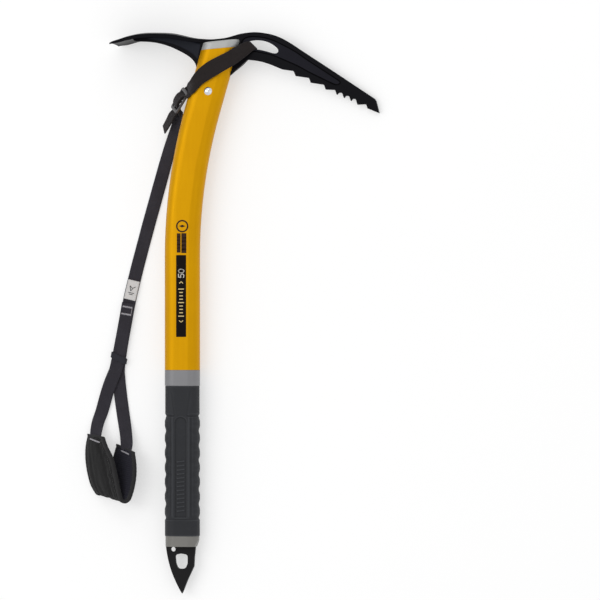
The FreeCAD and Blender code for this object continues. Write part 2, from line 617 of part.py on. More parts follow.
def run_route(name, points, across, arc_steps=3):
    """Straight runs joined by tangent arcs: each arc's radius is 0.45 of its shorter
    run over the tangent of half the turn. Gives places, directions and width
    directions along the route."""
    points = [V(*p) for p in points]
    across = [V(*a).normalize() for a in across]
    out = [(points[0], (points[1] - points[0]).normalize(), across[0])]
    radii = []
    for i in range(1, len(points) - 1):
        a, b, c = points[i - 1], points[i], points[i + 1]
        u, w = (a - b), (c - b)
        shorter = min(u.Length, w.Length)
        u.normalize()
        w.normalize()
        half = math.acos(max(-1.0, min(1.0, u.dot(w)))) / 2.0
        turn = math.pi - 2 * half
        back = 0.45 * shorter
        radius = back / math.tan(turn / 2)
        radii.append(radius)
        bisector = (u + w).normalize()
        centre = b + bisector * (radius / math.sin(half))
        start, end = b + u * back, b + w * back
        steps = max(1, min(arc_steps, int(math.degrees(turn) / 6.0) + 1))
        before = across[i - 1] * 0.45 + across[i] * 0.55
        after = across[i] * 0.55 + across[i + 1] * 0.45
        for k in range(steps + 1):
            t = k / steps
            angle = turn * t
            arm = (start - centre)
            normal = (u * -1).cross(w).normalize()
            place = centre + Rotation(normal, math.degrees(angle)).multVec(arm)
            heading = Rotation(normal, math.degrees(angle)).multVec(u * -1)
            side = before * (1 - t) + after * t
            out.append((place, heading, side.normalize()))
    out.append((points[-1], (points[-1] - points[-2]).normalize(), across[-1]))
    length = sum((q[0] - p[0]).Length for p, q in zip(out[:-1], out[1:]))
    print("%s: length %.1f, least radius %.1f" % (name, length, min(radii) if radii else 0))
    print("   radii", [round(r, 1) for r in radii])
    return out, length


def band(samples, width=None, thick=None, widths=None):
    rings = []
    for i, (place, heading, side) in enumerate(samples):
        side = (side - heading * side.dot(heading)).normalize()
        normal = heading.cross(side).normalize()
        w = (widths[i] if widths else (width or WIDE)) / 2
        h = (thick or THICK) / 2
        rings.append([place - side * w - normal * h, place + side * w - normal * h,
                      place + side * w + normal * h, place - side * w + normal * h])
    return triangle_solid(rings)


# slide: its own axes, along the strap, across it, and out of its front face
E1 = V(0.5224, 0.8475, 0.0897).normalize()
E2 = V(0.5088, -0.4007, 0.7632)
E2 = (E2 - E1 * E2.dot(E1)).normalize()
OUT = E2.cross(E1).normalize()
SLIDE = V(-61.4, 192.4, 15.0)


def slide_point(along, depth, across=0.0):
    """depth counts from the middle of the slide towards its back."""
    return SLIDE + E1 * along - OUT * depth + E2 * across


frame_body = doc.addObject("PartDesign::Body", "leash_buckle")
frame_body.Label = "leash_buckle"
outline = sketch(frame_body, "buckle_outline")
hw, hl, slot_w = size("slide_width") / 2, size("slide_length") / 2, size("slide_slot") / 2
add(outline, rounded([(-hw, -hl, 1.6), (hw, -hl, 1.6), (hw, hl, 1.6), (-hw, hl, 1.6)], closed=True))
add(outline, rounded([(-slot_w, -hl + 3.0, 0.5), (slot_w, -hl + 3.0, 0.5), (slot_w, hl - 3.0, 0.5),
                      (-slot_w, hl - 3.0, 0.5)], closed=True))
pad(frame_body, "buckle_frame", outline, both=True, expression="Sizes.slide_thickness")
bar = sketch(frame_body, "buckle_bar_section", "YZ_Plane", Placement(V(0, 0, -slot_w - 0.5), Rotation()))
circle(bar, 0.0, 0.0, 1.15, "Sizes.slide_bar_radius")
pad(frame_body, "buckle_bar", bar, expression="Sizes.slide_slot + 1.0")
frame_body.Placement = Placement(FreeCAD.Matrix(E2.x, E1.x, OUT.x * 1, SLIDE.x,
                                                E2.y, E1.y, OUT.y * 1, SLIDE.y,
                                                E2.z, E1.z, OUT.z * 1, SLIDE.z,
                                                0, 0, 0, 1))
LEASH.append(frame_body)

# the webbing's way through the slide, tail layer first: behind the end bars, over the middle bar
WEAVE = [(11.1, 2.0), (7.8, 2.0), (1.9, -3.35), (-1.9, -3.35), (-7.8, 2.0), (-11.1, 2.0)]


def offset_weave(step):
    out = []
    for i, (s, d) in enumerate(WEAVE):
        normals = []
        for a, b in ((i - 1, i), (i, i + 1)):
            if 0 <= a and b < len(WEAVE):
                u = V(WEAVE[b][0] - WEAVE[a][0], WEAVE[b][1] - WEAVE[a][1], 0).normalize()
                normals.append(V(u.y, -u.x, 0))
        n = normals[0] if len(normals) == 1 else (normals[0] + normals[1]).normalize()
        stretch = 1.0 if len(normals) == 1 else 1.0 / n.dot(normals[0])
        out.append((s + n.x * step * stretch, d + n.y * step * stretch))
    return out


INNER = offset_weave(STEP)


def mitred(points, across, widths=None):
    """Rings at the points themselves, square to the mean direction."""
    points = [V(*p) if not isinstance(p, FreeCAD.Vector) else p for p in points]
    out = []
    for i, place in enumerate(points):
        a = points[max(i - 1, 0)]
        b = points[min(i + 1, len(points) - 1)]
        out.append((place, (b - a).normalize(), V(*across[i]) if not isinstance(across[i], FreeCAD.Vector) else across[i]))
    return out


flat_dir = V(0.52, -0.85, 0)
hole_dir = V(0.66, -0.75, 0)
standing = [slide_point(s, d) for s, d in reversed(INNER)]
tail_layer = [slide_point(s, d) for s, d in WEAVE]
# behind the shaft, up through the hole and down over the front
AROUND = [(-51.3, 200.3, 7.6), (-45.5, 204.2, 4.9), (-38.0, 208.8, 3.6), (-27.0, 215.5, 3.4), (-16.0, 222.6, 4.0),
          (-6.5, 229.2, 5.5), (0.0, 234.3, 8.7), (4.6, 238.2, 10.5), (7.4, 240.4, 11.9), (8.7, 241.5, 14.0),
          (7.4, 240.4, 16.6), (4.2, 237.9, 18.1), (-0.5, 234.3, 22.1), (-4.6, 231.3, 26.1), (-8.5, 228.7, 28.0),
          (-13.5, 225.7, 28.9), (-26.3, 218.9, 29.0), (-36.0, 213.2, 28.9), (-41.2, 209.5, 28.2), (-45.6, 206.2, 26.0),
          (-49.4, 203.5, 21.6)]
SIDES = [E2 * 0.55 + flat_dir * 0.45, flat_dir * 0.85 + E2 * 0.15, flat_dir, flat_dir, flat_dir,
         flat_dir * 0.5 + hole_dir * 0.5, hole_dir, hole_dir, hole_dir, hole_dir,
         hole_dir, hole_dir, hole_dir * 0.6 + flat_dir * 0.4, flat_dir * 0.6 + hole_dir * 0.4, flat_dir,
         flat_dir, flat_dir, flat_dir, flat_dir * 0.85 + E2 * 0.15, flat_dir * 0.6 + E2 * 0.4,
         flat_dir * 0.25 + E2 * 0.75]
LOOP_WIDTHS = [12.3, 12.3, 12.3, 12.3, 12.3, 11.5, 10.3, 9.4, 8.8, 8.6,
               8.8, 9.6, 10.6, 11.8, 12.3, 12.3, 12.3, 12.3, 12.3, 12.3, 12.3]
loop_points = standing + [V(*p) for p in AROUND] + tail_layer
loop_sides = [E2] * len(standing) + SIDES + [E2] * len(tail_layer)
loop_widths = [WIDE] * len(standing) + LOOP_WIDTHS + [WIDE] * len(tail_layer)
samples = mitred(loop_points, loop_sides)
leash_node("leash_head_loop", band(samples, widths=loop_widths))
print("leash_head_loop: length %.1f" % sum((b - a).Length for a, b in zip(loop_points[:-1], loop_points[1:])))

# the free end below the slide
tail_start = slide_point(-11.1, 2.0)
tail_route = [tail_start, slide_point(-14.5, 1.4), V(-71.2, 173.6, 14.3), V(-75.3, 166.3, 14.9)]
samples, tail_length = run_route("leash_tail", [tuple(p) for p in tail_route],
                                 [tuple(E2), tuple(E2), (0.42, -0.30, 0.86), (0.35, -0.25, 0.90)])
leash_node("leash_tail", band(samples))

# the strap: from the slide down to the floor, then flat, up on to the keeper's floor and
# on as the right leg of the wrist loop
LIFT = size("keeper_wall") + size("keeper_play") + THICK / 2 + 0.05
KEEPER = V(-120.2, -40.5, 0)
LINE = V(0.1772, 0.9842, 0).normalize()
SQUARE = V(LINE.y, -LINE.x, 0)
strap_start = slide_point(INNER[-1][0], INNER[-1][1])
up_line = KEEPER + LINE * 42.0
bar_top = V(-110.9, 11.2, LIFT)
MAIN = [tuple(strap_start), (-67.6, 170.0, 8.9), (-71.6, 156.0, 5.2), (-76.1, 140.3, 2.3), (-81.0, 123.6, 0.95),
        (-87.2, 102.0, 0.75), (-94.3, 77.0, 0.75), (-103.1, 44.4, 0.75), (-107.9, 24.6, 1.25),
        tuple(bar_top)]
twist = [E2, E2 * 0.9 + V(0.97, -0.27, 0) * 0.1, E2 * 0.62 + V(0.96, -0.28, 0) * 0.38,
         E2 * 0.28 + V(0.96, -0.28, 0) * 0.72, V(0.96, -0.28, 0.04), V(0.96, -0.275, 0), V(0.963, -0.27, 0),
         V(0.968, -0.25, 0), V(0.975, -0.22, 0), SQUARE]
samples, main_length = run_route("leash_main_strap", MAIN, [tuple(v) for v in twist])
leash_node("leash_main_strap", band(samples))
RIGHT_LEG = [tuple(bar_top), tuple(KEEPER + LINE * -7.0 + V(0, 0, LIFT)), (-120.6, -60.4, 1.45),
             (-118.6, -79.0, 0.75), (-115.8, -96.7, 0.78), (-113.6, -110.5, 2.9)]
FLOOR_EDGE = [(-150.8, -109.6, 0.7), (-152.1, -120.5, 0.6), (-151.7, -131.4, 0.5), (-149.7, -143.2, 0.5),
              (-146.7, -154.1, 0.5), (-143.0, -161.0, 0.5), (-140.6, -163.3, 0.5), (-137.4, -162.6, 0.5),
              (-133.6, -154.9, 0.5), (-129.7, -144.0, 0.5), (-125.7, -131.3, 0.6), (-122.0, -118.8, 0.8)]
UPPER_EDGE = [(-130.8, -112.2, 14), (-126.6, -120.3, 19), (-120.2, -131.1, 22.5), (-115.5, -142.8, 23.5),
              (-111.7, -153.6, 23), (-109.2, -163.5, 22.5), (-107.7, -169.9, 22), (-103.9, -169.5, 22),
              (-100.5, -160.8, 22.5), (-97.9, -149.0, 23), (-98.0, -137.3, 21.5), (-101.1, -125.2, 16)]


def through(points, t):
    """A point on a smooth line through the points, at t."""
    last = len(points) - 1
    i = min(int(t), last - 1)
    f = t - i
    p = [V(*points[max(0, min(last, k))]) for k in (i - 1, i, i + 1, i + 2)]
    return (p[1] * 2 + (p[2] - p[0]) * f + (p[0] * 2 - p[1] * 5 + p[2] * 4 - p[3]) * f ** 2
            + (p[1] * 3 - p[0] - p[2] * 3 + p[3]) * f ** 3) * 0.5


def cuff_frames():
    """Edges of the cuff's middle surface, from its left end round to its right end."""
    frames = []
    count = len(FLOOR_EDGE) - 1
    for k in range(2 * count + 1):
        t = k / 2.0
        low, high = through(FLOOR_EDGE, t), through(UPPER_EDGE, t)
        t0, t1 = max(t - 0.35, 0.0), min(t + 0.35, float(count))
        along = (through(FLOOR_EDGE, t1) + through(UPPER_EDGE, t1)
                 - through(FLOOR_EDGE, t0) - through(UPPER_EDGE, t0)).normalize()
        across = (high - low).normalize()
        frames.append((low, high, along, across, along.cross(across).normalize()))
    return frames


FRAMES = cuff_frames()
# on the left lobe the outer face looks away from the loop, to the left and up
flip = -1.0 if FRAMES[1][4].x > 0 else 1.0


def cuff_layer(inner, outer, low_in=0.0, high_in=0.0):
    rings = []
    for low, high, along, across, outward in FRAMES:
        n = outward * flip
        a, b = low + across * low_in, high - across * high_in
        rings.append([a + n * inner, b + n * inner, b + n * outer, a + n * outer])
    return rings


def lifted(rings, floor=0.1):
    """Nothing goes below the floor: a ring that would is raised."""
    out = []
    for ring in rings:
        out.append([V(p.x, p.y, max(p.z, floor)) for p in ring])
    return out


HALF = size("cuff_thickness") / 2
leash_node("wrist_pad_shell", triangle_solid(lifted(cuff_layer(0.0, HALF, 0.6, 2.2))))
leash_node("wrist_pad_lining", triangle_solid(lifted(cuff_layer(-HALF * 0.55, -0.1, 0.6, 2.2))))
binding_rings = []
for low, high, along, across, outward in FRAMES:
    n = outward * flip
    a, b = high - across * 2.15, high + across * 0.3
    binding_rings.append([a - n * HALF * 0.6, b - n * HALF * 0.6, b + n * HALF * 1.05, a + n * HALF * 1.05])
leash_node("wrist_pad_binding", triangle_solid(binding_rings))

right_low, right_high, right_along, right_across, right_out = FRAMES[-1]
right_end = (right_low + right_high) * 0.5 + right_along * 0.3 + right_across * 0.5
left_low, left_high, left_along, left_across, left_out = FRAMES[0]
left_end = (left_low + left_high) * 0.5 - left_along * 0.3 + left_across * 0.5
RIGHT_LEG = RIGHT_LEG[:-1] + [(-113.4, -110.0, 3.9), tuple(right_end)]
samples, right_length = run_route("loop_leg_right", RIGHT_LEG, [tuple(SQUARE), tuple(SQUARE), (0.99, 0.06, 0),
                                  (0.99, 0.13, 0.0), (0.988, 0.15, 0.0), (0.93, 0.08, 0.33), tuple(right_across)])
leash_node("loop_leg_right", band(samples))
LEFT_LEG = [tuple(bar_top - LINE * 2.0 + V(0, 0, STEP)), tuple(KEEPER + LINE * -8.5 + V(0, 0, LIFT + STEP)),
            (-125.5, -57.0, 3.75), (-130.0, -67.7, 2.95), (-133.5, -79.1, 2.3), (-136.6, -90.0, 1.2),
            (-139.0, -99.0, 2.6), tuple(left_end)]
samples, left_length = run_route("loop_leg_left", LEFT_LEG, [tuple(SQUARE), tuple(SQUARE), (0.93, -0.36, 0),
                                 (0.945, -0.32, 0), (0.955, -0.29, 0), (0.963, -0.27, 0.05), (0.92, -0.2, 0.34),
                                 tuple(left_across)])
leash_node("loop_leg_left", band(samples))

# label and bar-tacks on the strap, stitches on the cuff


def plate_on(place, along, across, normal, length, width, thick):
    half = [(-1, -1), (1, -1), (1, 1), (-1, 1)]
    low = [place + along * (a * length / 2) + across * (b * width / 2) for a, b in half]
    high = [p + normal * thick for p in low]
    return triangle_solid([low, high])


label_low, label_high = V(-110.3, 12.6, 0), V(-106.3, 29.6, 0)
label_mid = (label_low + label_high) * 0.5
along = (label_high - label_low).normalize()
leash_node("leash_label", plate_on(V(label_mid.x, label_mid.y, 2.95), along, V(along.y, -along.x, 0),
                                   V(0, 0, 1), 17.6, 10.6, 0.35))
tacks = []
for distance in (46.9, 40.3):
    centre = KEEPER + LINE * distance + V(0, 0, LIFT + STEP + THICK / 2 + 0.02)
    tacks.append(plate_on(centre, LINE, SQUARE, V(0, 0, 1), 1.7, 8.8, 0.4))
leash_node("leash_bartacks", Part.makeCompound(tacks))
pad_tacks = []
for i, sign in ((0, 1.0), (len(FRAMES) - 1, -1.0)):
    low, high, along, across, outward = FRAMES[i]
    n = outward * flip
    centre = (low + high) * 0.5 + along * sign * 4.0 + across * 1.0
    face = n * (HALF + 0.35) if i == 0 else n * (-HALF * 0.55 - 0.75)
    pad_tacks.append(plate_on(centre + face, along, across, n if i == 0 else n * -1.0, 1.6, 10.5, 0.35))
leash_node("wrist_pad_bartacks", Part.makeCompound(pad_tacks))

# keeper: a band that slides up the doubled webbing
keeper = doc.addObject("PartDesign::Body", "leash_keeper")
keeper.Label = "leash_keeper"
play, wall = size("keeper_play"), size("keeper_wall")
inner_w = WIDE / 2 + play
inner_h = THICK + STEP + 2 * play
profile = sketch(keeper, "keeper_section", "XZ_Plane", up(-size("keeper_length") / 2))
add(profile, rounded([(-inner_w - wall, 0, 1.2), (inner_w + wall, 0, 1.2),
                      (inner_w + wall, inner_h + 2 * wall, 1.2), (-inner_w - wall, inner_h + 2 * wall, 1.2)], closed=True))
add(profile, rounded([(-inner_w, wall, 0.2), (inner_w, wall, 0.2), (inner_w, wall + inner_h, 0.2),
                      (-inner_w, wall + inner_h, 0.2)], closed=True))
made = pad(keeper, "keeper_ring", profile, expression="Sizes.keeper_length")
made.Reversed = True
keeper.Placement = Placement(FreeCAD.Matrix(SQUARE.x, LINE.x, 0, KEEPER.x,
                                            SQUARE.y, LINE.y, 0, KEEPER.y,
                                            0, 0, 1, 0.05,
                                            0, 0, 0, 1))
LEASH.append(keeper)
NODES.extend(LEASH)

doc.recompute()
for node in NODES:
    if node not in LEASH:
        node.Placement = REST.multiply(node.Placement)
doc.recompute()

# webbing and cloth give way to what they lie against
BY_LABEL = {node.Label: node for node in NODES}
for label, others in [
        ("leash_head_loop", ["head", "head_insert_front", "head_insert_rear"]),
        ("leash_main_strap", ["leash_head_loop"]), ("leash_tail", ["leash_head_loop"]),
        ("wrist_pad_lining", ["wrist_pad_shell"]), ("wrist_pad_binding", ["wrist_pad_shell", "wrist_pad_lining"]),
        ("loop_leg_right", ["leash_main_strap", "wrist_pad_shell", "wrist_pad_lining", "wrist_pad_binding"]),
        ("loop_leg_left", ["wrist_pad_shell", "wrist_pad_lining", "wrist_pad_binding", "loop_leg_right"])]:
    node = BY_LABEL[label]
    shape = node.Shape.copy()
    before = shape.Volume
    for other in others:
        less = shape.cut(BY_LABEL[other].Shape)
        less = sorted(less.Solids, key=lambda one: one.Volume)[-1]
        if less.isValid() and less.Volume > 0.98 * shape.Volume:
            shape = less
        else:
            print("   %s left as it is against %s" % (label, other))
    node.Shape = shape
    print("%s trimmed by %.2f" % (label, before - shape.Volume))
doc.recompute()

# --- check and write ---------------------------------------------------------------------------
bad = []
for item in doc.Objects:
    if "Invalid" in item.State or "Error" in item.State:
        bad.append("%s %s" % (item.Name, item.State))
for node in NODES:
    if node.Shape.isNull() or not node.Shape.isValid():
        bad.append("shape of " + node.Label)
if bad:
    raise RuntimeError("; ".join(bad))
os.makedirs("parts", exist_ok=True)
for node in NODES:
    node.Shape.exportStep("parts/%s.step" % node.Label)
    print("%-22s solids %d volume %.1f" % (node.Label, len(node.Shape.Solids), node.Shape.Volume))
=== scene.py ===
import math
import random

import bpy
import bmesh
from mathutils import Matrix, Vector, noise
from mathutils.bvhtree import BVHTree


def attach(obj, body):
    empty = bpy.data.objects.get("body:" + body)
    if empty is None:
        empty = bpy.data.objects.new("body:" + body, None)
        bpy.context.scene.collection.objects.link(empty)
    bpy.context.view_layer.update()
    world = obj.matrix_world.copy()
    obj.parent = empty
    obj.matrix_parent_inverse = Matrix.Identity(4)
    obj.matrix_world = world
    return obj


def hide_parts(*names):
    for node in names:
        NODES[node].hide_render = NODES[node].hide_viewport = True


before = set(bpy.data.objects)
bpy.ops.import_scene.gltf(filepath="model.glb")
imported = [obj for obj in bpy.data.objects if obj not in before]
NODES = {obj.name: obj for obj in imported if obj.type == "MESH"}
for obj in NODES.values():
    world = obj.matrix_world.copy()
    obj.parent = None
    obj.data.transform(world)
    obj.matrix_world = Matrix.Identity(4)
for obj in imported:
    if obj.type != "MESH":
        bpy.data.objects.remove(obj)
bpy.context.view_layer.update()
MM = 0.001
scene = bpy.context.scene
random.seed(7)


def V(*p):
    return Vector(p)


# ------------------------------------------------------------------ camera
def aim(right, up, back, place):
    m = Matrix((
        (right[0], up[0], back[0], place[0]),
        (right[1], up[1], back[1], place[1]),
        (right[2], up[2], back[2], place[2]),
        (0, 0, 0, 1)))
    return m


cam_data = bpy.data.cameras.new("camera")
cam_data.sensor_width = 36
cam_data.lens = 333.333
cam_data.clip_start = 0.1
cam_data.clip_end = 30
camera = bpy.data.objects.new("camera", cam_data)
scene.collection.objects.link(camera)
camera.matrix_world = aim((0.97002821, 0.00327282, -0.2429703), (0.00196269, 0.99977114, 0.02130276),
                          (0.24298442, -0.02114115, 0.96979979), (1.26445218, -0.09392139, 4.85404443))
scene.camera = camera


# ------------------------------------------------------------------ routes
def follow(points, resolution=14):
    """Points read from a smooth spline that has these as its control points."""
    curve = bpy.data.curves.new("route", "CURVE")
    curve.dimensions = "3D"
    spline = curve.splines.new("NURBS")
    spline.points.add(len(points) - 1)
    for slot, p in zip(spline.points, points):
        slot.co = (p[0], p[1], p[2], 1.0)
    spline.order_u = 3
    spline.use_endpoint_u = True
    spline.resolution_u = resolution
    curve.resolution_u = resolution
    holder = bpy.data.objects.new("route", curve)
    mesh = bpy.data.meshes.new_from_object(holder)
    out = [v.co.copy() for v in mesh.vertices]
    bpy.data.objects.remove(holder)
    bpy.data.curves.remove(curve)
    bpy.data.meshes.remove(mesh)
    return out


def mm(points):
    return [Vector(p) * MM for p in points]


def make(name, verts, faces, uvs=None, smooth=True, body="axe"):
    """A mesh object; uvs is one (u, v) in millimetres for each vertex, or for each face's corners."""
    mesh = bpy.data.meshes.new(name)
    mesh.from_pydata([tuple(v) for v in verts], [], faces)
    mesh.update()
    if uvs is not None:
        layer = mesh.uv_layers.new(name="UVMap")
        for poly in mesh.polygons:
            for k, loop in enumerate(poly.loop_indices):
                vert = mesh.loops[loop].vertex_index
                uv = uvs[vert] if isinstance(uvs, list) else uvs(poly.index, k, vert)
                layer.data[loop].uv = (uv[0] * 0.01, uv[1] * 0.01)
    if smooth:
        mesh.polygons.foreach_set("use_smooth", [True] * len(mesh.polygons))
    obj = bpy.data.objects.new(name, mesh)
    scene.collection.objects.link(obj)
    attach(obj, body)
    return obj


def ribbon_profile(width, thick, across=9, edge=4):
    """Closed outline of webbing: flat faces, rolled edges a little fuller than the middle."""
    half, h = width / 2, thick / 2
    flat = half - h
    out = []
    for k in range(across):
        s = -flat + 2 * flat * k / (across - 1)
        out.append((s, h * (0.93 + 0.10 * math.exp(-((half - abs(s)) / (1.1 * MM)) ** 2))))
    for k in range(1, edge):
        a = math.pi / 2 - math.pi * k / edge
        out.append((flat + h * math.cos(a), h * math.sin(a)))
    for k in range(across):
        s = flat - 2 * flat * k / (across - 1)
        out.append((s, -h * (0.93 + 0.10 * math.exp(-((half - abs(s)) / (1.1 * MM)) ** 2))))
    for k in range(1, edge):
        a = -math.pi / 2 - math.pi * k / edge
        out.append((-flat + h * math.cos(a), h * math.sin(a)))
    return out


def even(points, sides, widths, step):
    """The same line at even steps, so that the mesh is regular."""
    total = [0.0]
    for a, b in zip(points[:-1], points[1:]):
        total.append(total[-1] + (b - a).length)
    count = max(8, int(round(total[-1] / step)))
    out = ([], [], [], [])
    j = 0
    for k in range(count + 1):
        d = total[-1] * k / count
        while j < len(total) - 2 and total[j + 1] < d:
            j += 1
        f = (d - total[j]) / max(total[j + 1] - total[j], 1e-12)
        f = min(max(f, 0.0), 1.0)
        out[0].append(points[j].lerp(points[j + 1], f))
        out[1].append(sides[j].lerp(sides[j + 1], f))
        out[2].append(widths[j] + (widths[j + 1] - widths[j]) * f)
        out[3].append(d)
    return out


def ribbon(name, points, sides, widths, thick, step=1.1 * MM, body="axe", waver=0.0, end_cut=0.0):
    points, sides, widths, run = even(points, sides, widths, step)
    verts, faces, uv = [], [], []
    count = None
    for i, place in enumerate(points):
        a, b = points[max(i - 1, 0)], points[min(i + 1, len(points) - 1)]
        t = (b - a).normalized()
        s = (sides[i] - t * sides[i].dot(t)).normalized()
        n = s.cross(t)
        outline = ribbon_profile(widths[i], thick)
        count = len(outline)
        arc = 0.0
        for k, (x, z) in enumerate(outline):
            if waver:
                z += waver * noise.noise(Vector((x * 260, run[i] * 55, 3.1)))
                x += waver * 0.7 * noise.noise(Vector((9.3 if x > 0 else 2.1, run[i] * 70, 8.8)))
            late = max(0.0, 1 - (run[-1] - run[i]) / (7 * MM))
            verts.append(place + s * x + n * z + t * (x * end_cut * late))
            uv.append((run[i] / MM, x / MM))
    for i in range(len(points) - 1):
        for k in range(count):
            k2 = (k + 1) % count
            faces.append((i * count + k, i * count + k2, (i + 1) * count + k2, (i + 1) * count + k))
    faces.append(tuple(range(count - 1, -1, -1)))
    last = (len(points) - 1) * count
    faces.append(tuple(last + k for k in range(count)))
    obj = make(name, verts, faces, uv, body=body)
    outward(obj)
    return obj


def outward(obj):
    bm = bmesh.new()
    bm.from_mesh(obj.data)
    bmesh.ops.recalc_face_normals(bm, faces=bm.faces)
    bm.to_mesh(obj.data)
    bm.free()


# ------------------------------------------------------------------ leash data, in millimetres
WIDE = 12.3
THICK = 1.3
STEP = 1.45
E1 = V(0.548, 0.831, 0.0897).normalized()
E2 = V(0.5088, -0.4007, 0.7632)
E2 = (E2 - E1 * E2.dot(E1)).normalized()
OUT = E2.cross(E1)
SLIDE = V(-60.4, 192.2, 15.0)


def slide_point(along, depth, across=0.0):
    return SLIDE + E1 * along - OUT * depth + E2 * across


WEAVE = [(12.4, 1.5), (9.4, 2.3), (7.2, 1.3), (5.9, -1.7), (3.4, -3.2), (0.0, -3.45), (-3.4, -3.2), (-5.9, -1.7),
         (-7.2, 1.3), (-9.4, 2.2), (-12.4, 1.2)]
INNER = [(12.0, 3.0), (9.2, 3.8), (6.2, 2.6), (4.6, -0.2), (2.6, -1.75), (0.0, -2.0), (-2.6, -1.75), (-4.6, -0.2),
         (-6.2, 2.6), (-9.2, 3.9), (-11.8, 5.3)]
KEEPER = V(-120.2, -40.5, 0)
LINE = V(0.1772, 0.9842, 0).normalized()
SQUARE = V(LINE.y, -LINE.x, 0)
LIFT = 2.15
BAR_TOP = V(-110.9, 11.2, LIFT)

FLOOR_EDGE = [(-148.7, -109.8, 0.7), (-150.9, -120.5, 0.6), (-151.2, -131.4, 0.5), (-149.6, -143.2, 0.5),
              (-146.7, -154.1, 0.5), (-143.0, -161.0, 0.5), (-140.6, -163.3, 0.5), (-137.4, -162.6, 0.5),
              (-133.6, -154.9, 0.5), (-129.7, -144.0, 0.5), (-125.7, -131.3, 0.6), (-122.0, -118.8, 0.8)]
UPPER_EDGE = [(-130.8, -112.2, 14), (-126.6, -120.3, 19), (-120.2, -131.1, 22.5), (-116.8, -142.8, 23.5),
              (-114.5, -153.6, 23), (-112.4, -163.5, 22.5), (-110.2, -169.6, 22), (-105.2, -169.0, 22),
              (-101.7, -160.8, 22.5), (-99.3, -149.0, 23), (-99.5, -137.3, 21.5), (-102.6, -125.4, 16)]


def through(points, t):
    last = len(points) - 1
    i = min(max(int(t), 0), last - 1)
    f = t - i
    p = [Vector(points[max(0, min(last, k))]) for k in (i - 1, i, i + 1, i + 2)]
    return (p[1] * 2 + (p[2] - p[0]) * f + (p[0] * 2 - p[1] * 5 + p[2] * 4 - p[3]) * f ** 2
            + (p[1] * 3 - p[0] - p[2] * 3 + p[3]) * f ** 3) * 0.5


COUNT = float(len(FLOOR_EDGE) - 1)


def cuff_frame(t):
    """Floor edge, upper edge, direction along, direction across and outward, in millimetres."""
    low, high = through(FLOOR_EDGE, t), through(UPPER_EDGE, t)
    t0, t1 = max(t - 0.35, 0.0), min(t + 0.35, COUNT)
    along = (through(FLOOR_EDGE, t1) + through(UPPER_EDGE, t1)
             - through(FLOOR_EDGE, t0) - through(UPPER_EDGE, t0)).normalized()
    across = (high - low).normalized()
    return low, high, along, across, along.cross(across).normalized() * FLIP


FLIP = 1.0
FLIP = -1.0 if cuff_frame(COUNT / 2)[4].y > 0 else 1.0
low, high, along, across, outer = cuff_frame(COUNT)
RIGHT_END = (low + high) * 0.5 + along * 0.3 + across * 0.5 + outer * 0.3 + V(1.0, 0, 0)
RIGHT_IN = (low + high) * 0.5 - along * 5.0 + across * 0.5 + outer * 0.62
RIGHT_ACROSS = across.copy()
low, high, along, across, outer = cuff_frame(0.0)
LEFT_END = (low + high) * 0.5 - along * 0.3 + across * 0.5 + outer * 0.3 + V(-1.2, 0, 0)
LEFT_IN = (low + high) * 0.5 + along * 5.0 + across * 0.5 + outer * 0.62
LEFT_ACROSS = across.copy()

# the strap from the slide to the cuff, by way of the right leg of the wrist loop
STRAP = [slide_point(-7.6, 5.4, 0.3), slide_point(-11.8, 5.3) + V(0.7, 0, 0), (-63.6, 171.4, 11.0), (-69.9, 156.4, 6.2), (-75.9, 140.3, 2.4), (-81.0, 123.6, 0.95),
         (-87.2, 102.0, 0.75), (-94.3, 77.0, 0.75), (-103.1, 44.4, 0.75), (-107.9, 24.6, 1.25),
         BAR_TOP, KEEPER + LINE * -7.0 + V(0, 0, LIFT), (-120.6, -60.4, 1.45),
         (-118.6, -79.0, 0.75), (-115.8, -96.7, 0.78), (-112.8, -110.0, 3.9), RIGHT_END, RIGHT_IN]
STRAP_SIDES = [E2, E2 * 0.72 + V(0.97, -0.27, 0) * 0.28, E2 * 0.45 + V(0.97, -0.27, 0) * 0.55, E2 * 0.3 + V(0.96, -0.28, 0) * 0.7,
               E2 * 0.12 + V(0.96, -0.28, 0) * 0.88, (0.96, -0.28, 0.02), (0.96, -0.275, 0), (0.963, -0.27, 0),
               (0.968, -0.25, 0), (0.975, -0.22, 0), SQUARE, SQUARE, (0.99, 0.06, 0),
               (0.99, 0.13, 0.0), (0.988, 0.12, 0.05), (0.95, -0.02, 0.2), RIGHT_ACROSS * 0.38 + V(0.95, -0.3, 0.1) * 0.62, RIGHT_ACROSS]
LEFT_LEG = [BAR_TOP - LINE * 2.0 + V(0, 0, STEP), KEEPER + LINE * -8.5 + V(0, 0, LIFT + STEP),
            (-125.5, -57.0, 3.75), (-130.0, -67.7, 2.95), (-133.5, -79.1, 2.3), (-136.8, -90.0, 1.2),
            (-140.2, -99.2, 2.6), LEFT_END, LEFT_IN]
LEFT_SIDES = [SQUARE, SQUARE, (0.93, -0.36, 0), (0.945, -0.32, 0), (0.955, -0.29, 0), (0.963, -0.27, 0.03),
              (0.95, -0.24, 0.16), LEFT_ACROSS * 0.5 + V(0.95, -0.22, 0.1) * 0.5, LEFT_ACROSS]

strap_path = follow(mm(STRAP))
strap_sides = follow([Vector(s) for s in STRAP_SIDES])
leash_strap = ribbon("leash_strap", strap_path, strap_sides, [WIDE * MM] * len(strap_path), THICK * MM,
                     waver=0.12 * MM)
left_path = follow(mm(LEFT_LEG))
left_sides = follow([Vector(s) for s in LEFT_SIDES])
wrist_loop_leg = ribbon("wrist_loop_leg", left_path, left_sides, [WIDE * MM] * len(left_path), THICK * MM,
                        waver=0.12 * MM)
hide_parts("leash_main_strap", "loop_leg_right")
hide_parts("loop_leg_left")

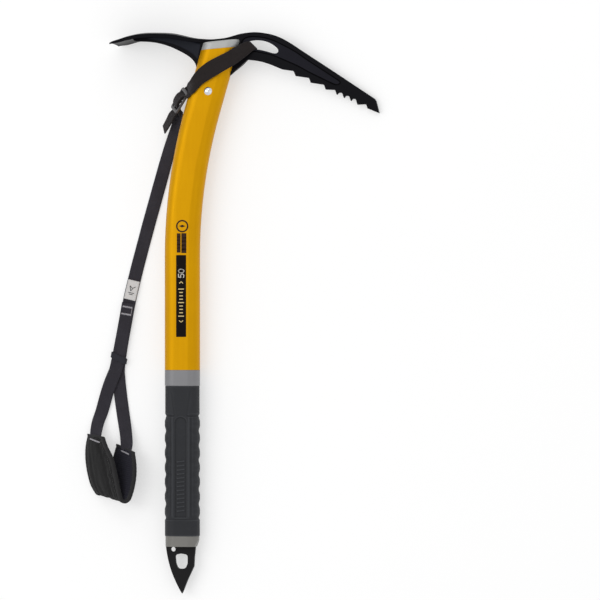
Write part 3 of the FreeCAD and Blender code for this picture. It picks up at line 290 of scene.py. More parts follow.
# the webbing tied round the head, from the slide, behind the shaft, up through the hole,
# down across the front and back through the slide to its free end
FLAT = V(0.52, -0.85, 0)
IN_HOLE = V(0.72, -0.69, 0)
AROUND = [(-51.3, 200.3, 7.6), (-45.5, 204.2, 4.9), (-38.0, 208.8, 3.6), (-27.0, 215.5, 3.4), (-16.0, 222.6, 4.0),
          (-6.5, 229.2, 5.5), (0.0, 234.3, 8.7), (4.6, 238.2, 10.5), (7.0, 240.4, 11.9), (8.0, 241.2, 14.0),
          (6.6, 240.8, 16.8), (3.2, 239.2, 18.6), (-1.0, 235.8, 22.6), (-4.8, 232.4, 26.3), (-8.6, 229.4, 28.1),
          (-13.8, 226.5, 28.9), (-26.9, 219.9, 29.0), (-36.3, 213.7, 28.9), (-41.1, 209.2, 28.2), (-44.8, 205.2, 26.2),
          (-48.4, 202.9, 21.8)]
AROUND_SIDES = [E2 * 0.55 + FLAT * 0.45, FLAT * 0.85 + E2 * 0.15, FLAT, FLAT, FLAT,
                FLAT * 0.5 + IN_HOLE * 0.5, IN_HOLE, IN_HOLE, IN_HOLE, IN_HOLE,
                IN_HOLE, IN_HOLE, IN_HOLE * 0.6 + FLAT * 0.4, FLAT * 0.6 + IN_HOLE * 0.4, FLAT,
                FLAT, FLAT, (0.545, -0.83, 0.10), (0.56, -0.80, 0.20), (0.55, -0.79, 0.28),
                (0.44, -0.83, 0.34)]
AROUND_WIDTHS = [12.3, 12.3, 12.3, 12.3, 12.3, 11.5, 10.3, 9.4, 9.2, 9.2,
                 9.8, 11.6, 13.0, 13.4, 13.6, 14.1, 15.1, 14.0, 12.6, 12.1, 12.1]
TAIL = [slide_point(-15.2, 0.4), V(-70.6, 173.2, 14.6), V(-75.3, 165.8, 15.2)]
HEAD_LOOP = [slide_point(s, d, 0.4) for s, d in reversed(INNER)] + AROUND + [slide_point(s, d, 0.5) for s, d in WEAVE] + TAIL
HEAD_SIDES = [E2] * len(INNER) + AROUND_SIDES + [E2] * len(WEAVE) + [E2 * 0.8 + V(0.5, -0.6, 0.6) * 0.2, (0.53, -0.42, 0.70), (0.53, -0.34, 0.76)]
HEAD_WIDTHS = [WIDE] * len(INNER) + AROUND_WIDTHS + [WIDE] * (len(WEAVE) + 3)
loop_path = follow(mm(HEAD_LOOP))
loop_sides = follow([Vector(s) for s in HEAD_SIDES])
loop_widths = [p.x for p in follow([V(w * MM, 0, 0) for w in HEAD_WIDTHS])]
leash_head_band = ribbon("leash_head_band", loop_path, loop_sides, loop_widths, THICK * MM, waver=0.06 * MM, end_cut=0.4)
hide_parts("leash_head_loop", "leash_tail")


def lift_off(obj, nodes, toward, gap=0.15, thick=THICK, most=9.0):
    """Raises the band where its face would sink into the parts it lies on."""
    trees = []
    for node in nodes:
        part = NODES[node]
        world = part.matrix_world
        trees.append(BVHTree.FromPolygons([world @ v.co for v in part.data.vertices],
                                          [tuple(f.vertices) for f in part.data.polygons]))
    toward = toward.normalized()
    count = len(ribbon_profile(WIDE * MM, THICK * MM))
    rings = len(obj.data.vertices) // count
    need = [[0.0] * count for _ in range(rings)]
    for i in range(rings):
        for k in range(count):
            v = obj.data.vertices[i * count + k].co
            if v.z < 16.5 * MM:
                continue
            for tree in trees:
                hit = tree.ray_cast(v + toward * 60 * MM, -toward, 0.06)
                if hit[0] is not None:
                    sunk = 60 * MM - hit[3]
                    if 0 < sunk + gap * MM < most * MM:
                        need[i][k] = max(need[i][k], sunk + gap * MM)
    wide = [[max(max(row) * 0.0, *[need[j][k] for j in range(max(0, i - 2), min(rings, i + 3))]) for k in range(count)]
            for i, row in enumerate(need)]
    outline = ribbon_profile(WIDE * MM, THICK * MM)
    column = [[b for b in range(count) if abs(outline[b][0] - outline[a][0]) < 0.7 * MM] for a in range(count)]
    shift = [[max(wide[i][b] for b in column[k]) for k in range(count)] for i in range(rings)]
    for _ in range(3):
        shift = [[max(need[i][k], (shift[max(i - 1, 0)][k] + 2 * shift[i][k] + shift[min(i + 1, rings - 1)][k]) / 4)
                  for k in range(count)] for i in range(rings)]
    for i in range(rings):
        for k in range(count):
            obj.data.vertices[i * count + k].co += toward * shift[i][k]
    obj.data.update()


lift_off(leash_head_band, ("shaft_tube", "head_insert_front"), V(0.2425, -0.0213, 0.9699))


# ------------------------------------------------------------------ slide
def loop_outline(half_a, half_b, radius, count=10):
    out = []
    for cx, cy, start in ((1, 1, 0), (-1, 1, 90), (-1, -1, 180), (1, -1, 270)):
        for k in range(count):
            a = math.radians(start + 90.0 * k / (count - 1))
            out.append((cx * (half_a - radius) + radius * math.cos(a), cy * (half_b - radius) + radius * math.sin(a)))
    return out


def frame_ring(outer, inner, profile):
    """Rings of a frame with a hole: profile is (share from the outer to the inner line, height)."""
    verts, faces = [], []
    n = len(outer)
    for share, height in profile:
        for a, b in zip(outer, inner):
            verts.append((a[0] + (b[0] - a[0]) * share, a[1] + (b[1] - a[1]) * share, height))
    rings = len(profile)
    for r in range(rings):
        r2 = (r + 1) % rings
        for k in range(n):
            k2 = (k + 1) % n
            faces.append((r * n + k, r * n + k2, r2 * n + k2, r2 * n + k))
    return verts, faces


outer_line = loop_outline(11.1, 8.1, 2.2)
inner_line = loop_outline(8.0, 6.5, 1.0)
section = [(0.0, -0.55), (0.05, -0.9), (0.2, -1.15), (0.5, -1.22), (0.8, -1.15), (0.95, -0.9), (1.0, -0.5),
           (1.0, 0.5), (0.95, 0.9), (0.8, 1.15), (0.5, 1.22), (0.2, 1.15), (0.05, 0.9), (0.0, 0.55)]
verts, faces = frame_ring(outer_line, inner_line, section)
# the end bars are crowned in the middle, and the frame dips a little between them
shaped = []
for x, y, z in verts:
    crown = 0.22 * max(0.0, 1 - (y / 6.8) ** 2) * (1 if abs(x) > 7.5 else 0)
    shaped.append((x, y, z + (crown if z > 0 else -crown * 0.5) * min(1.0, abs(z))))
base = len(shaped)
bar_rings = 25
for i in range(bar_rings):
    y = -6.9 + 13.8 * i / (bar_rings - 1)
    for k in range(14):
        a = 2 * math.pi * k / 14
        r = 1.12 + (0.07 if (i % 2) else 0.0)
        shaped.append((r * math.cos(a) * 1.05, y, r * math.sin(a) * 0.95))
for i in range(bar_rings - 1):
    for k in range(14):
        k2 = (k + 1) % 14
        faces.append((base + i * 14 + k, base + i * 14 + k2, base + (i + 1) * 14 + k2, base + (i + 1) * 14 + k))
faces.append(tuple(base + k for k in range(13, -1, -1)))
faces.append(tuple(base + (bar_rings - 1) * 14 + k for k in range(14)))
placed = [(SLIDE + E1 * x + E2 * y + OUT * z) * MM for x, y, z in shaped]
slide_buckle = make("slide_buckle", placed, faces, [(x, y) for x, y, z in shaped])
outward(slide_buckle)
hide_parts("leash_buckle")

# ------------------------------------------------------------------ keeper
in_w, in_h, wall = 6.55, 3.3, 1.15
centre_z = 0.05 + 1.2 + 3.25 / 2
path2 = loop_outline(in_w + wall / 2, in_h / 2 + wall / 2, 1.3, count=7)
dense = []
for a, b in zip(path2, path2[1:] + path2[:1]):
    gap = math.hypot(b[0] - a[0], b[1] - a[1])
    parts = max(1, int(gap / 0.55))
    for k in range(parts):
        dense.append((a[0] + (b[0] - a[0]) * k / parts, a[1] + (b[1] - a[1]) * k / parts))
profile = ribbon_profile(5.4 * MM, wall * MM, across=7, edge=4)
verts, faces, uv = [], [], []
n = len(profile)
run = 0.0
for i, (x, z) in enumerate(dense):
    a, b = dense[i - 1], dense[(i + 1) % len(dense)]
    t = V(b[0] - a[0], 0, b[1] - a[1]).normalized()
    out = V(t.z, 0, -t.x)
    puff = 0.10 * math.sin(i * 1.9) + 0.06 * math.sin(i * 0.7)
    for s, h in profile:
        p = V(x, 0, z) + out * (h / MM + 0.03 * puff)
        q = KEEPER + SQUARE * p.x + LINE * (s / MM * (1 + 0.03 * math.sin(i * 0.35)) - p.x * 0.27) + V(0, 0, centre_z + p.z)
        verts.append(q * MM)
        uv.append((run, s / MM))
    run += math.hypot(dense[(i + 1) % len(dense)][0] - x, dense[(i + 1) % len(dense)][1] - z)
m = len(dense)
for i in range(m):
    i2 = (i + 1) % m
    for k in range(n):
        k2 = (k + 1) % n
        faces.append((i * n + k, i * n + k2, i2 * n + k2, i2 * n + k))
keeper_band = make("keeper_band", verts, faces, uv, body="keeper")
outward(keeper_band)
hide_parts("leash_keeper")


# ------------------------------------------------------------------ thread
def thread(points, radius, sides=6):
    """Tube rings along a polyline; returns (verts, faces)."""
    verts, faces = [], []
    up = V(0, 0, 1)
    for i, p in enumerate(points):
        a, b = points[max(i - 1, 0)], points[min(i + 1, len(points) - 1)]
        t = (b - a).normalized()
        s = t.cross(up)
        if s.length < 1e-4:
            s = t.cross(V(1, 0, 0))
        s.normalize()
        n = s.cross(t)
        small = 0.55 if i in (0, len(points) - 1) else 1.0
        for k in range(sides):
            ang = 2 * math.pi * k / sides
            verts.append(p + (s * math.cos(ang) + n * math.sin(ang)) * radius * small)
    for i in range(len(points) - 1):
        for k in range(sides):
            k2 = (k + 1) % sides
            faces.append((i * sides + k, i * sides + k2, (i + 1) * sides + k2, (i + 1) * sides + k))
    faces.append(tuple(range(sides - 1, -1, -1)))
    faces.append(tuple((len(points) - 1) * sides + k for k in range(sides)))
    return verts, faces


def join(parts):
    verts, faces = [], []
    for v, f in parts:
        base = len(verts)
        verts += v
        faces += [tuple(base + k for k in face) for face in f]
    return verts, faces


def tack(centre, along, across, normal, length, width, passes, radius=0.17):
    """A bar-tack: a tight zigzag of thread over a few long stitches."""
    parts = []
    for off in (-0.28, 0.0, 0.28):
        parts.append(thread([centre + across * (-width / 2) + along * (off * length),
                             centre + across * (width / 2) + along * (off * length)], radius * 0.9))
    line = []
    for k in range(passes * 2 + 1):
        x = -width / 2 + width * k / (passes * 2)
        side = 1 if k % 2 else -1
        wob = 0.05 * math.sin(k * 2.7)
        line.append(centre + across * x + along * (side * (length / 2 + wob)) + normal * -0.05)
        if k < passes * 2:
            x2 = x + width / (passes * 4)
            line.append(centre + across * x2 + normal * 0.2)
    parts.append(thread(line, radius))
    return join(parts)


def dashes(points, normals, gap, length, radius=0.16):
    """A run of single stitches along a line of points."""
    total = [0.0]
    for a, b in zip(points[:-1], points[1:]):
        total.append(total[-1] + (b - a).length)

    def at(d):
        j = 0
        while j < len(total) - 2 and total[j + 1] < d:
            j += 1
        f = (d - total[j]) / max(total[j + 1] - total[j], 1e-9)
        return points[j].lerp(points[j + 1], f), normals[j].lerp(normals[j + 1], f).normalized()
    parts = []
    count = int(total[-1] / (gap + length))
    for k in range(count):
        d = (k + 0.25) * total[-1] / count
        line = []
        for q, lift in ((0.0, -0.12), (0.18, 0.06), (0.5, 0.12), (0.82, 0.06), (1.0, -0.12)):
            p, n = at(min(d + q * length, total[-1]))
            line.append(p + n * lift)
        parts.append(thread(line, radius, 5))
    return join(parts)


def scaled(parts):
    verts, faces = parts
    return [v * MM for v in verts], faces


Z = V(0, 0, 1)
tack_parts = []
for distance in (46.9, 40.3):
    centre = KEEPER + LINE * distance + V(0, 0, LIFT + STEP + THICK / 2 + 0.05)
    tack_parts.append(tack(centre, LINE, SQUARE, Z, 1.9, 9.3, 17))
side_run = [KEEPER + LINE * (40.3 + 6.6 * k / 8) + SQUARE * 4.4 + V(0, 0, LIFT + STEP + THICK / 2 + 0.08) for k in range(9)]
tack_parts.append(thread(side_run, 0.2))
verts, faces = scaled(join(tack_parts))
strap_tacks = make("strap_tacks", verts, faces)
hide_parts("leash_bartacks")

# ------------------------------------------------------------------ label
label_low, label_high = V(-110.3, 12.6, 0), V(-106.3, 29.6, 0)
label_along = (label_high - label_low).normalized()
label_side = V(label_along.y, -label_along.x, 0)
label_mid = (label_low + label_high) * 0.5


def label_point(a, b, lift=0.0):
    """a along, b across, both from the label's middle in millimetres."""
    sag = 0.10 * math.sin(a * 0.45) - 0.012 * b * b * 0.35
    z = 3.14 + (a + 8.8) * -0.012 + sag * 0.5
    return V(label_mid.x, label_mid.y, 0) + label_along * a + label_side * b + V(0, 0, z + lift)


verts, faces, uv = [], [], []
NA, NB = 36, 20
for layer in (0, 1):
    for i in range(NA + 1):
        for j in range(NB + 1):
            a = -8.9 + 17.8 * i / NA
            b = -5.5 + 11.0 * j / NB
            edge = min(8.9 - abs(a), 0.9) / 0.9
            thick = 0.16 + 0.10 * (1 if 8.9 - abs(a) < 1.5 else 0)
            fray = 0.05 * math.sin(b * 7.0) if i in (0, NA) else 0.0
            z = thick if layer else -0.28
            verts.append(label_point(a + fray, b * (1 - 0.012 * (1 - edge)), z) * MM)
            uv.append((a, b))
W = NB + 1
H = (NA + 1) * W
for i in range(NA):
    for j in range(NB):
        q = (i * W + j, i * W + j + 1, (i + 1) * W + j + 1, (i + 1) * W + j)
        faces.append(tuple(reversed(q)))
        faces.append(tuple(H + k for k in q))
rim = ([j for j in range(NB)] + [i * W + NB for i in range(NA)] + [NA * W + j for j in range(NB, 0, -1)]
       + [i * W for i in range(NA, 0, -1)])
for a, b in zip(rim, rim[1:] + rim[:1]):
    faces.append((a, b, H + b, H + a))
strap_label = make("strap_label", verts, faces, uv)
outward(strap_label)
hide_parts("leash_label")

# a plain peak line and a base line, woven on the label
mark_parts = []
for line in ([(-3.6, -2.6), (-1.6, 0.2), (-3.6, 3.0)], [(-3.6, -2.6), (0.9, -0.9), (-1.2, 0.5)],
             [(2.6, -2.9), (2.6, 2.9)], [(4.0, -1.9), (4.0, 1.9)]):
    pts = []
    for (a0, b0), (a1, b1) in zip(line[:-1], line[1:]):
        for k in range(7):
            pts.append((a0 + (a1 - a0) * k / 6, b0 + (b1 - b0) * k / 6))
    mark_parts.append(thread([label_point(-a, b, 0.17) for a, b in pts], 0.33))
verts, faces = scaled(join(mark_parts))
label_mark = make("label_mark", verts, faces)

stitch_line = []
for a, b in [(-8.1, -4.7), (8.1, -4.7), (8.1, 4.7), (-8.1, 4.7), (-8.1, -4.7)]:
    stitch_line.append((a, b))
pts = []
for (a0, b0), (a1, b1) in zip(stitch_line[:-1], stitch_line[1:]):
    for k in range(12):
        pts.append(label_point(a0 + (a1 - a0) * k / 12, b0 + (b1 - b0) * k / 12, 0.2))
verts, faces = scaled(dashes(pts, [Z] * len(pts), 0.55, 1.15, 0.11))
label_stitches = make("label_stitches", verts, faces)


# ------------------------------------------------------------------ cuff
def smoothstep(a, b, x):
    x = min(max((x - a) / (b - a), 0.0), 1.0)
    return x * x * (3 - 2 * x)


def pad_mesh(name, low_off, high_off, nt, ns, crown_low, crown_high, scale=10.0, crease=0.0):
    """A closed flat bag that follows the cuff between two offsets, on an even grid with its weave in its UVs."""
    verts, faces, uv = [], [], []
    run = [0.0]
    prev = None
    for i in range(nt + 1):
        t = COUNT * i / nt
        low, high = cuff_frame(t)[:2]
        mid = (low + high) * 0.5
        if prev is not None:
            run.append(run[-1] + (mid - prev).length)
        prev = mid
    for layer in (0, 1):
        for i in range(nt + 1):
            t = COUNT * i / nt
            low, high, along, across, outer = cuff_frame(t)
            width = (high - low).length
            end = smoothstep(0, 5.0, min(run[i], run[-1] - run[i]) + 1.0)
            for j in range(ns + 1):
                s = j / ns
                rim = smoothstep(0, 4.2, min(s, 1 - s) * width + 0.7)
                belly = 0.9 * math.sin(math.pi * s)
                off = (low_off - crown_low * rim * end) if layer == 0 else (high_off + crown_high * rim * end)
                if layer:
                    fold = noise.noise(Vector((run[i] * 0.035, s * width * 0.33, crown_high * 7)))
                    fold += 0.5 * noise.noise(Vector((run[i] * 0.09, s * width * 0.75, 4.4 + crown_high)))
                    calm = 1 - 0.8 * math.exp(-((t - 6.3) / 0.9) ** 2)
                    off += (crease * fold - crown_high * (1 - calm)) * rim * end
                p = low + (high - low) * (0.015 + 0.97 * s) + outer * (off + belly)
                verts.append(p * MM * scale)
                uv.append((run[i], s * width))
    w = ns + 1
    h = (nt + 1) * w
    for i in range(nt):
        for j in range(ns):
            q = (i * w + j, i * w + j + 1, (i + 1) * w + j + 1, (i + 1) * w + j)
            faces.append(tuple(reversed(q)))
            faces.append(tuple(h + k for k in q))
    rim = ([j for j in range(ns)] + [i * w + ns for i in range(nt)] + [nt * w + j for j in range(ns, 0, -1)]
           + [i * w for i in range(nt, 0, -1)])
    for a, b in zip(rim, rim[1:] + rim[:1]):
        faces.append((a, b, h + b, h + a))
    obj = make(name, verts, faces, uv)
    outward(obj)
    return obj, rim, h


def puff(obj, pinned, scale, cap, pressure, frames, extra):
    """Inflates the bag as cloth held at its seams, then keeps the shape within a cap."""
    rest = [v.co.copy() for v in obj.data.vertices]
    group = obj.vertex_groups.new(name="seams")
    group.add(pinned, 1.0, "REPLACE")
    cloth = obj.modifiers.new("cloth", "CLOTH")
    s = cloth.settings
    s.quality = 6
    s.mass = 0.25
    s.tension_stiffness = 12
    s.compression_stiffness = 12
    s.shear_stiffness = 5
    s.bending_stiffness = 0.25
    s.vertex_group_mass = "seams"
    s.pin_stiffness = 1.0
    s.use_pressure = True
    s.uniform_pressure_force = pressure
    s.shrink_min = -extra
    s.effector_weights.gravity = 0.0
    cloth.collision_settings.use_collision = False
    cloth.collision_settings.use_self_collision = False
    for f in range(1, frames + 1):
        scene.frame_set(f)
    deps = bpy.context.evaluated_depsgraph_get()
    done = obj.evaluated_get(deps)
    mesh = done.to_mesh()
    moved = [v.co.copy() for v in mesh.vertices]
    done.to_mesh_clear()
    obj.modifiers.remove(cloth)
    scene.frame_set(1)
    biggest = 0.0
    for v, a, b in zip(obj.data.vertices, rest, moved):
        d = b - a
        limit = cap * MM * scale
        biggest = max(biggest, d.length)
        if d.length > limit:
            d = d * (limit / d.length)
        v.co = (a + d) / scale
    obj.data.update()
    return biggest / scale / MM


NT, NS = 104, 34
cuff_shell, rim, h = pad_mesh("cuff_shell", 0.0, 0.55, NT, NS, 0.0, 1.0, crease=0.55)
w = NS + 1
pins = set(rim) | set(h + k for k in rim)
for i in range(NT + 1):
    for j in range(NS + 1):
        # the inner face and two sewn channels stay where they are
        if j in (0, NS, 25) or i in (0, NT):
            pins.add(h + i * w + j)
        pins.add(i * w + j)
grown = puff(cuff_shell, sorted(pins), 10.0, 1.1, 9.0, 18, 0.045)
print("cuff_shell moved up to %.2f mm" % grown)
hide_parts("wrist_pad_shell")

cuff_lining, rim2, h2 = pad_mesh("cuff_lining", -0.55, -0.10, 88, 28, 0.35, 0.0)
w2 = 29
pins2 = set(rim2) | set(h2 + k for k in rim2) | set(h2 + i for i in range(89 * w2))
grown = puff(cuff_lining, sorted(pins2), 10.0, 0.5, 4.0, 14, 0.03)
print("cuff_lining moved up to %.2f mm" % grown)
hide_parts("wrist_pad_lining")
for piece in (cuff_shell, cuff_lining):
    sub = piece.modifiers.new("smooth", "SUBSURF")
    sub.levels = 1
    sub.render_levels = 1


def tape(name, rows, half_w, half_h, ns=16, taper=None):
    """A folded tape: rows are (place, direction across the tape, outward)."""
    verts, faces, uv = [], [], []
    run = 0.0
    for i, (p, across, outer) in enumerate(rows):
        if i:
            run += (p - rows[i - 1][0]).length
        for k in range(ns):
            a = 2 * math.pi * k / ns
            c, s = math.cos(a), math.sin(a)
            x = half_w * math.copysign(abs(c) ** 0.6, c)
            if taper and x < 0:
                x *= taper(i / (len(rows) - 1))
            z = half_h * math.copysign(abs(s) ** 0.55, s)
            z *= 1 + 0.05 * math.sin(run * 1.7 + k * 0.3)
            verts.append((p + across * x + outer * z) * MM)
            uv.append((run, x + (z if s > 0 else -z)))
    m = len(rows)
    for i in range(m - 1):
        for k in range(ns):
            k2 = (k + 1) % ns
            faces.append((i * ns + k, i * ns + k2, (i + 1) * ns + k2, (i + 1) * ns + k))
    faces.append(tuple(range(ns - 1, -1, -1)))
    faces.append(tuple((m - 1) * ns + k for k in range(ns)))
    return verts, faces, uv


rows = []
for i in range(161):
    low, high, along, across, outer = cuff_frame(COUNT * i / 160)
    rows.append((high - across * 1.75 + outer * 0.45, across, outer))
v1, f1, u1 = tape("upper", rows, 2.15, 1.75, taper=lambda q: 1.15 - 0.75 * smoothstep(0.42, 0.6, q))
rows = []
for i in range(161):
    low, high, along, across, outer = cuff_frame(COUNT * i / 160)
    p = low + across * 1.0 + outer * 0.4
    rows.append((V(p.x, p.y, max(p.z, 1.5)), across, outer))
v2, f2, u2 = tape("floor", rows, 1.0, 1.35)
v3, f3, u3 = [], [], []
for t, sign in ((0.0, 1.0), (COUNT, -1.0)):
    low, high, along, across, outer = cuff_frame(t)
    rows = []
    for k in range(31):
        s = -0.01 + 1.02 * k / 30
        p = low + (high - low) * s + outer * (0.45 + 0.9 * math.sin(math.pi * min(max(s, 0), 1))) + along * sign * 0.8
        rows.append((V(p.x, p.y, max(p.z, 1.4)), along, outer))
    a, b, c = tape("end", rows, 1.1, 1.5)
    base = len(v3)
    v3 += a
    f3 += [tuple(base + k for k in face) for face in b]
    u3 += c
verts, faces, uv = [], [], []
for a, b, c in ((v1, f1, u1), (v2, f2, u2), (v3, f3, u3)):
    base = len(verts)
    verts += a
    faces += [tuple(base + k for k in face) for face in b]
    uv += c
cuff_binding = make("cuff_binding", verts, faces, uv)
outward(cuff_binding)
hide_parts("wrist_pad_binding")

bpy.context.view_layer.update()
SURFACES = []
for piece in (cuff_shell, cuff_lining, cuff_binding):
    deps = bpy.context.evaluated_depsgraph_get()
    SURFACES.append(BVHTree.FromObject(piece, deps))


def on_cloth(p, outward_dir, reach=9.0):
    """The first point of the cuff met coming in from outside, in millimetres."""
    start = (p + outward_dir * reach) * MM
    best = None
    for tree in SURFACES:
        hit = tree.ray_cast(start, -outward_dir, 0.02)
        if hit[0] is not None and (best is None or hit[3] < best[1]):
            best = (hit[0] / MM, hit[3])
    return best[0] if best else p


def draped(parts, plane_point, outward_dir):
    """Moves a flat run of thread on to the cloth under it."""
    verts, faces = parts
    out = []
    for v in verts:
        height = (v - plane_point).dot(outward_dir)
        foot = v - outward_dir * height
        out.append(on_cloth(foot, outward_dir) + outward_dir * (height + 0.08))
    return out, faces


# bar-tacks that hold the webbing's ends, one on the outside and one on the lining
tack_objects = []
for t, sign, name in ((0.0, 1.0, "left"), (COUNT, -1.0, "right")):
    low, high, along, across, outer = cuff_frame(t)
    centre = (low + high) * 0.5 + along * sign * (5.0 if name == "left" else 4.0) + across * 1.0
    if name == "left":
        across = (across + along * 0.13).normalized()
        along = (along - across * along.dot(across)).normalized()
    normal = outer if name == "left" else -outer
    verts, faces = scaled(draped(tack(centre, along, across, normal, 1.35, 14.4 if name == "left" else 13.2, 26), centre, normal))
    tack_objects.append(make("cuff_tack_" + name, verts, faces))
cuff_tack_left, cuff_tack_right = tack_objects
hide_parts("wrist_pad_bartacks")

# topstitching along the binding's inner edge, on the outer face and on the lining; the outer run is wide and
# near-black, so it is also a painted shade line along the binding's edge
pts_out, nor_out, pts_in, nor_in = [], [], [], []
for i in range(121):
    low, high, along, across, outer = cuff_frame(COUNT * (0.02 + 0.96 * i / 120))
    pts_out.append(on_cloth(high - across * 4.6, outer))
    nor_out.append(outer)
    pts_in.append(on_cloth(high - across * (4.6 - 1.6 * smoothstep(0.42, 0.6, i / 120)), -outer, 2.5))
    nor_in.append(-outer)
verts, faces = scaled(join([dashes(pts_out, nor_out, 0.7, 1.5, 0.26), dashes(pts_in, nor_in, 0.7, 1.5, 0.16)]))
cuff_topstitch_and_shade = make("cuff_topstitch_and_shade", verts, faces)

# ------------------------------------------------------------------ grip sleeve
ROT = Matrix.Rotation(math.radians(5.2639758), 3, "Y") @ Matrix.Rotation(math.radians(1.2258212), 3, "X")
SHIFT = V(-58.001926, -253.204962, 9.258551)


def row(x, y, z):
    """From the axe's own plane, in millimetres, to the frame, in metres."""
    return (ROT @ V(x, y, z) + SHIFT) * MM


PEAKS = [74.3, 87.5, 101.0, 113.8, 127.0, 140.5, 153.5]


def swell(y):
    """0 in the valleys between the swells, 1 on them, for the scalloped stretch."""
    if y < 68.6:
        return smoothstep(68.8, 66.2, y) if y > 66.2 else 1.0
    if y > 161:
        return 0.35 + 0.3 * smoothstep(161, 166, y)
    near = min(abs(y - p) for p in PEAKS)
    return 1 - smoothstep(1.6, 6.4, near)


GRIP_LOW, GRIP_HIGH = 52.0, 187.6
RIBS = [75.0 + 3.7 * k for k in range(13)]
verts, faces, uv = [], [], []
ys = []
y = GRIP_LOW + 0.02
while y < GRIP_HIGH - 0.02:
    ys.append(y)
    y += 0.45
ys.append(GRIP_HIGH - 0.02)
AROUND_N = 132


def stadium_point(u, half_w, half_d):
    """Point and outward normal on a stadium, u from 0 to 1, starting on the right."""
    r = half_d
    flat = half_w - r
    arc = math.pi * r
    total = 2 * arc + 4 * flat
    d = u * total
    if d < arc / 2:
        a = d / r
        return flat + r * math.cos(a), r * math.sin(a), math.cos(a), math.sin(a)
    d -= arc / 2
    if d < 2 * flat:
        return flat - d, r, 0.0, 1.0
    d -= 2 * flat
    if d < arc:
        a = math.pi / 2 + d / r
        return -flat + r * math.cos(a), r * math.sin(a), math.cos(a), math.sin(a)
    d -= arc
    if d < 2 * flat:
        return -flat + d, -r, 0.0, -1.0
    d -= 2 * flat
    a = 1.5 * math.pi + d / r
    return flat + r * math.cos(a), r * math.sin(a), math.cos(a), math.sin(a)


for i, y in enumerate(ys):
    for k in range(AROUND_N):
        x, z, nx, nz = stadium_point(k / AROUND_N, 16.0, 9.8)
        depth = 0.0
        side = smoothstep(0.25, 0.95, abs(nx))
        # scallops wrap round the sides and fade out on the flat faces
        if 66.0 < y < 162:
            depth += (1 - swell(y)) * (0.66 * side + 0.30 * smoothstep(0.0, 0.4, abs(nx)) + 0.04)
        else:
            depth += 0.12 * side
        if y > 161:
            depth += 0.28 * side * smoothstep(158, 164, y)
        # groove round the sides above the scallops
        ring = math.exp(-((y - 160.4) / 0.55) ** 2)
        depth += 0.42 * ring * smoothstep(5.2, 6.6, abs(x))
        # the end band below the scallops
        depth += 0.30 * math.exp(-((y - 67.3) / 0.6) ** 2)
        # long panel on both flat faces, round topped, with a raised lip beside it
        if abs(nz) > 0.5:
            top = 159.5 - (5.4 - math.sqrt(max(0.0, 5.4 ** 2 - min(abs(x), 5.4) ** 2)))
            inside = smoothstep(5.6, 5.0, abs(x)) * smoothstep(68.6, 69.4, y) * smoothstep(top + 0.4, top - 0.4, y)
            depth += 0.60 * inside
            lip = math.exp(-((abs(x) - 7.6) / 0.8) ** 2) * smoothstep(67.5, 71.0, y) * smoothstep(161, 157, y)
            depth -= 0.28 * lip
            depth += 0.26 * math.exp(-((abs(x) - 9.4) / 0.9) ** 2) * smoothstep(68, 72, y) * smoothstep(161, 157, y)
            # plain cross ribs in the panel
            if inside > 0.2 and 72 < y < 122:
                near = min(abs(y - r - x * 0.12) for r in RIBS)
                depth -= 0.40 * smoothstep(1.05, 0.4, near) * smoothstep(3.9, 3.3, abs(x)) * inside
            # two shallow facets that run together towards the panel at the top
            if y > 160.4:
                f = (y - 160.4) / 27.0
                depth += 0.16 * math.exp(-((abs(x) - (5.6 + 3.6 * f)) / 0.8) ** 2) * smoothstep(186, 178, y)
        edge = min(y - GRIP_LOW, GRIP_HIGH - y)
        if edge < 0.9:
            depth += 0.35 * (1 - math.sqrt(max(0.0, 1 - (1 - edge / 0.9) ** 2)))
        px, pz = x - nx * depth, z - nz * depth
        verts.append(row(px, y, pz))
        uv.append((y, k * 86.0 / AROUND_N))
n = AROUND_N
for i in range(len(ys) - 1):
    for k in range(n):
        k2 = (k + 1) % n
        faces.append((i * n + k, i * n + k2, (i + 1) * n + k2, (i + 1) * n + k))
# end rings down to the neck
for ring_i, y in ((0, GRIP_LOW), (len(ys) - 1, GRIP_HIGH)):
    base = len(verts)
    for k in range(n):
        x, z, nx, nz = stadium_point(k / n, 14.1, 8.1)
        verts.append(row(x, y, z))
        uv.append((y, k * 86.0 / n))
    for k in range(n):
        k2 = (k + 1) % n
        faces.append((ring_i * n + k, ring_i * n + k2, base + k2, base + k))
grip_cover = make("grip_cover", verts, faces, uv)
outward(grip_cover)
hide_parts("grip_sleeve")

# ------------------------------------------------------------------ printed marks
FILM_Z = 10.125


def flat_mark(strokes, z=FILM_Z, lift=0.05):
    """Little raised ink shapes: polygons in the shaft's plane."""
    verts, faces = [], []
    for poly in strokes:
        base = len(verts)
        n = len(poly)
        for h in (0.0, lift):
            for x, y in poly:
                verts.append(row(x, y, z + h))
        faces.append(tuple(base + k for k in range(n - 1, -1, -1)))
        faces.append(tuple(base + n + k for k in range(n)))
        for k in range(n):
            k2 = (k + 1) % n
            faces.append((base + k, base + k2, base + n + k2, base + n + k))
    return verts, faces


def stroke(points, width):
    """Quads along a polyline, for one line of a digit."""
    out = []
    for (x0, y0), (x1, y1) in zip(points[:-1], points[1:]):
        dx, dy = x1 - x0, y1 - y0
        d = math.hypot(dx, dy) or 1
        ex, ey = dx / d * width * 0.35, dy / d * width * 0.35
        nx, ny = -dy / d * width / 2, dx / d * width / 2
        out.append([(x0 - ex + nx, y0 - ey + ny), (x0 - ex - nx, y0 - ey - ny), (x1 + ex - nx, y1 + ey - ny),
                    (x1 + ex + nx, y1 + ey + ny)])
    return out


def turned(points, cx, cy, size):
    """Digit space (right, up) to the shaft: the digits read upwards along it."""
    return [(cx - b * size, cy + a * size) for a, b in points]


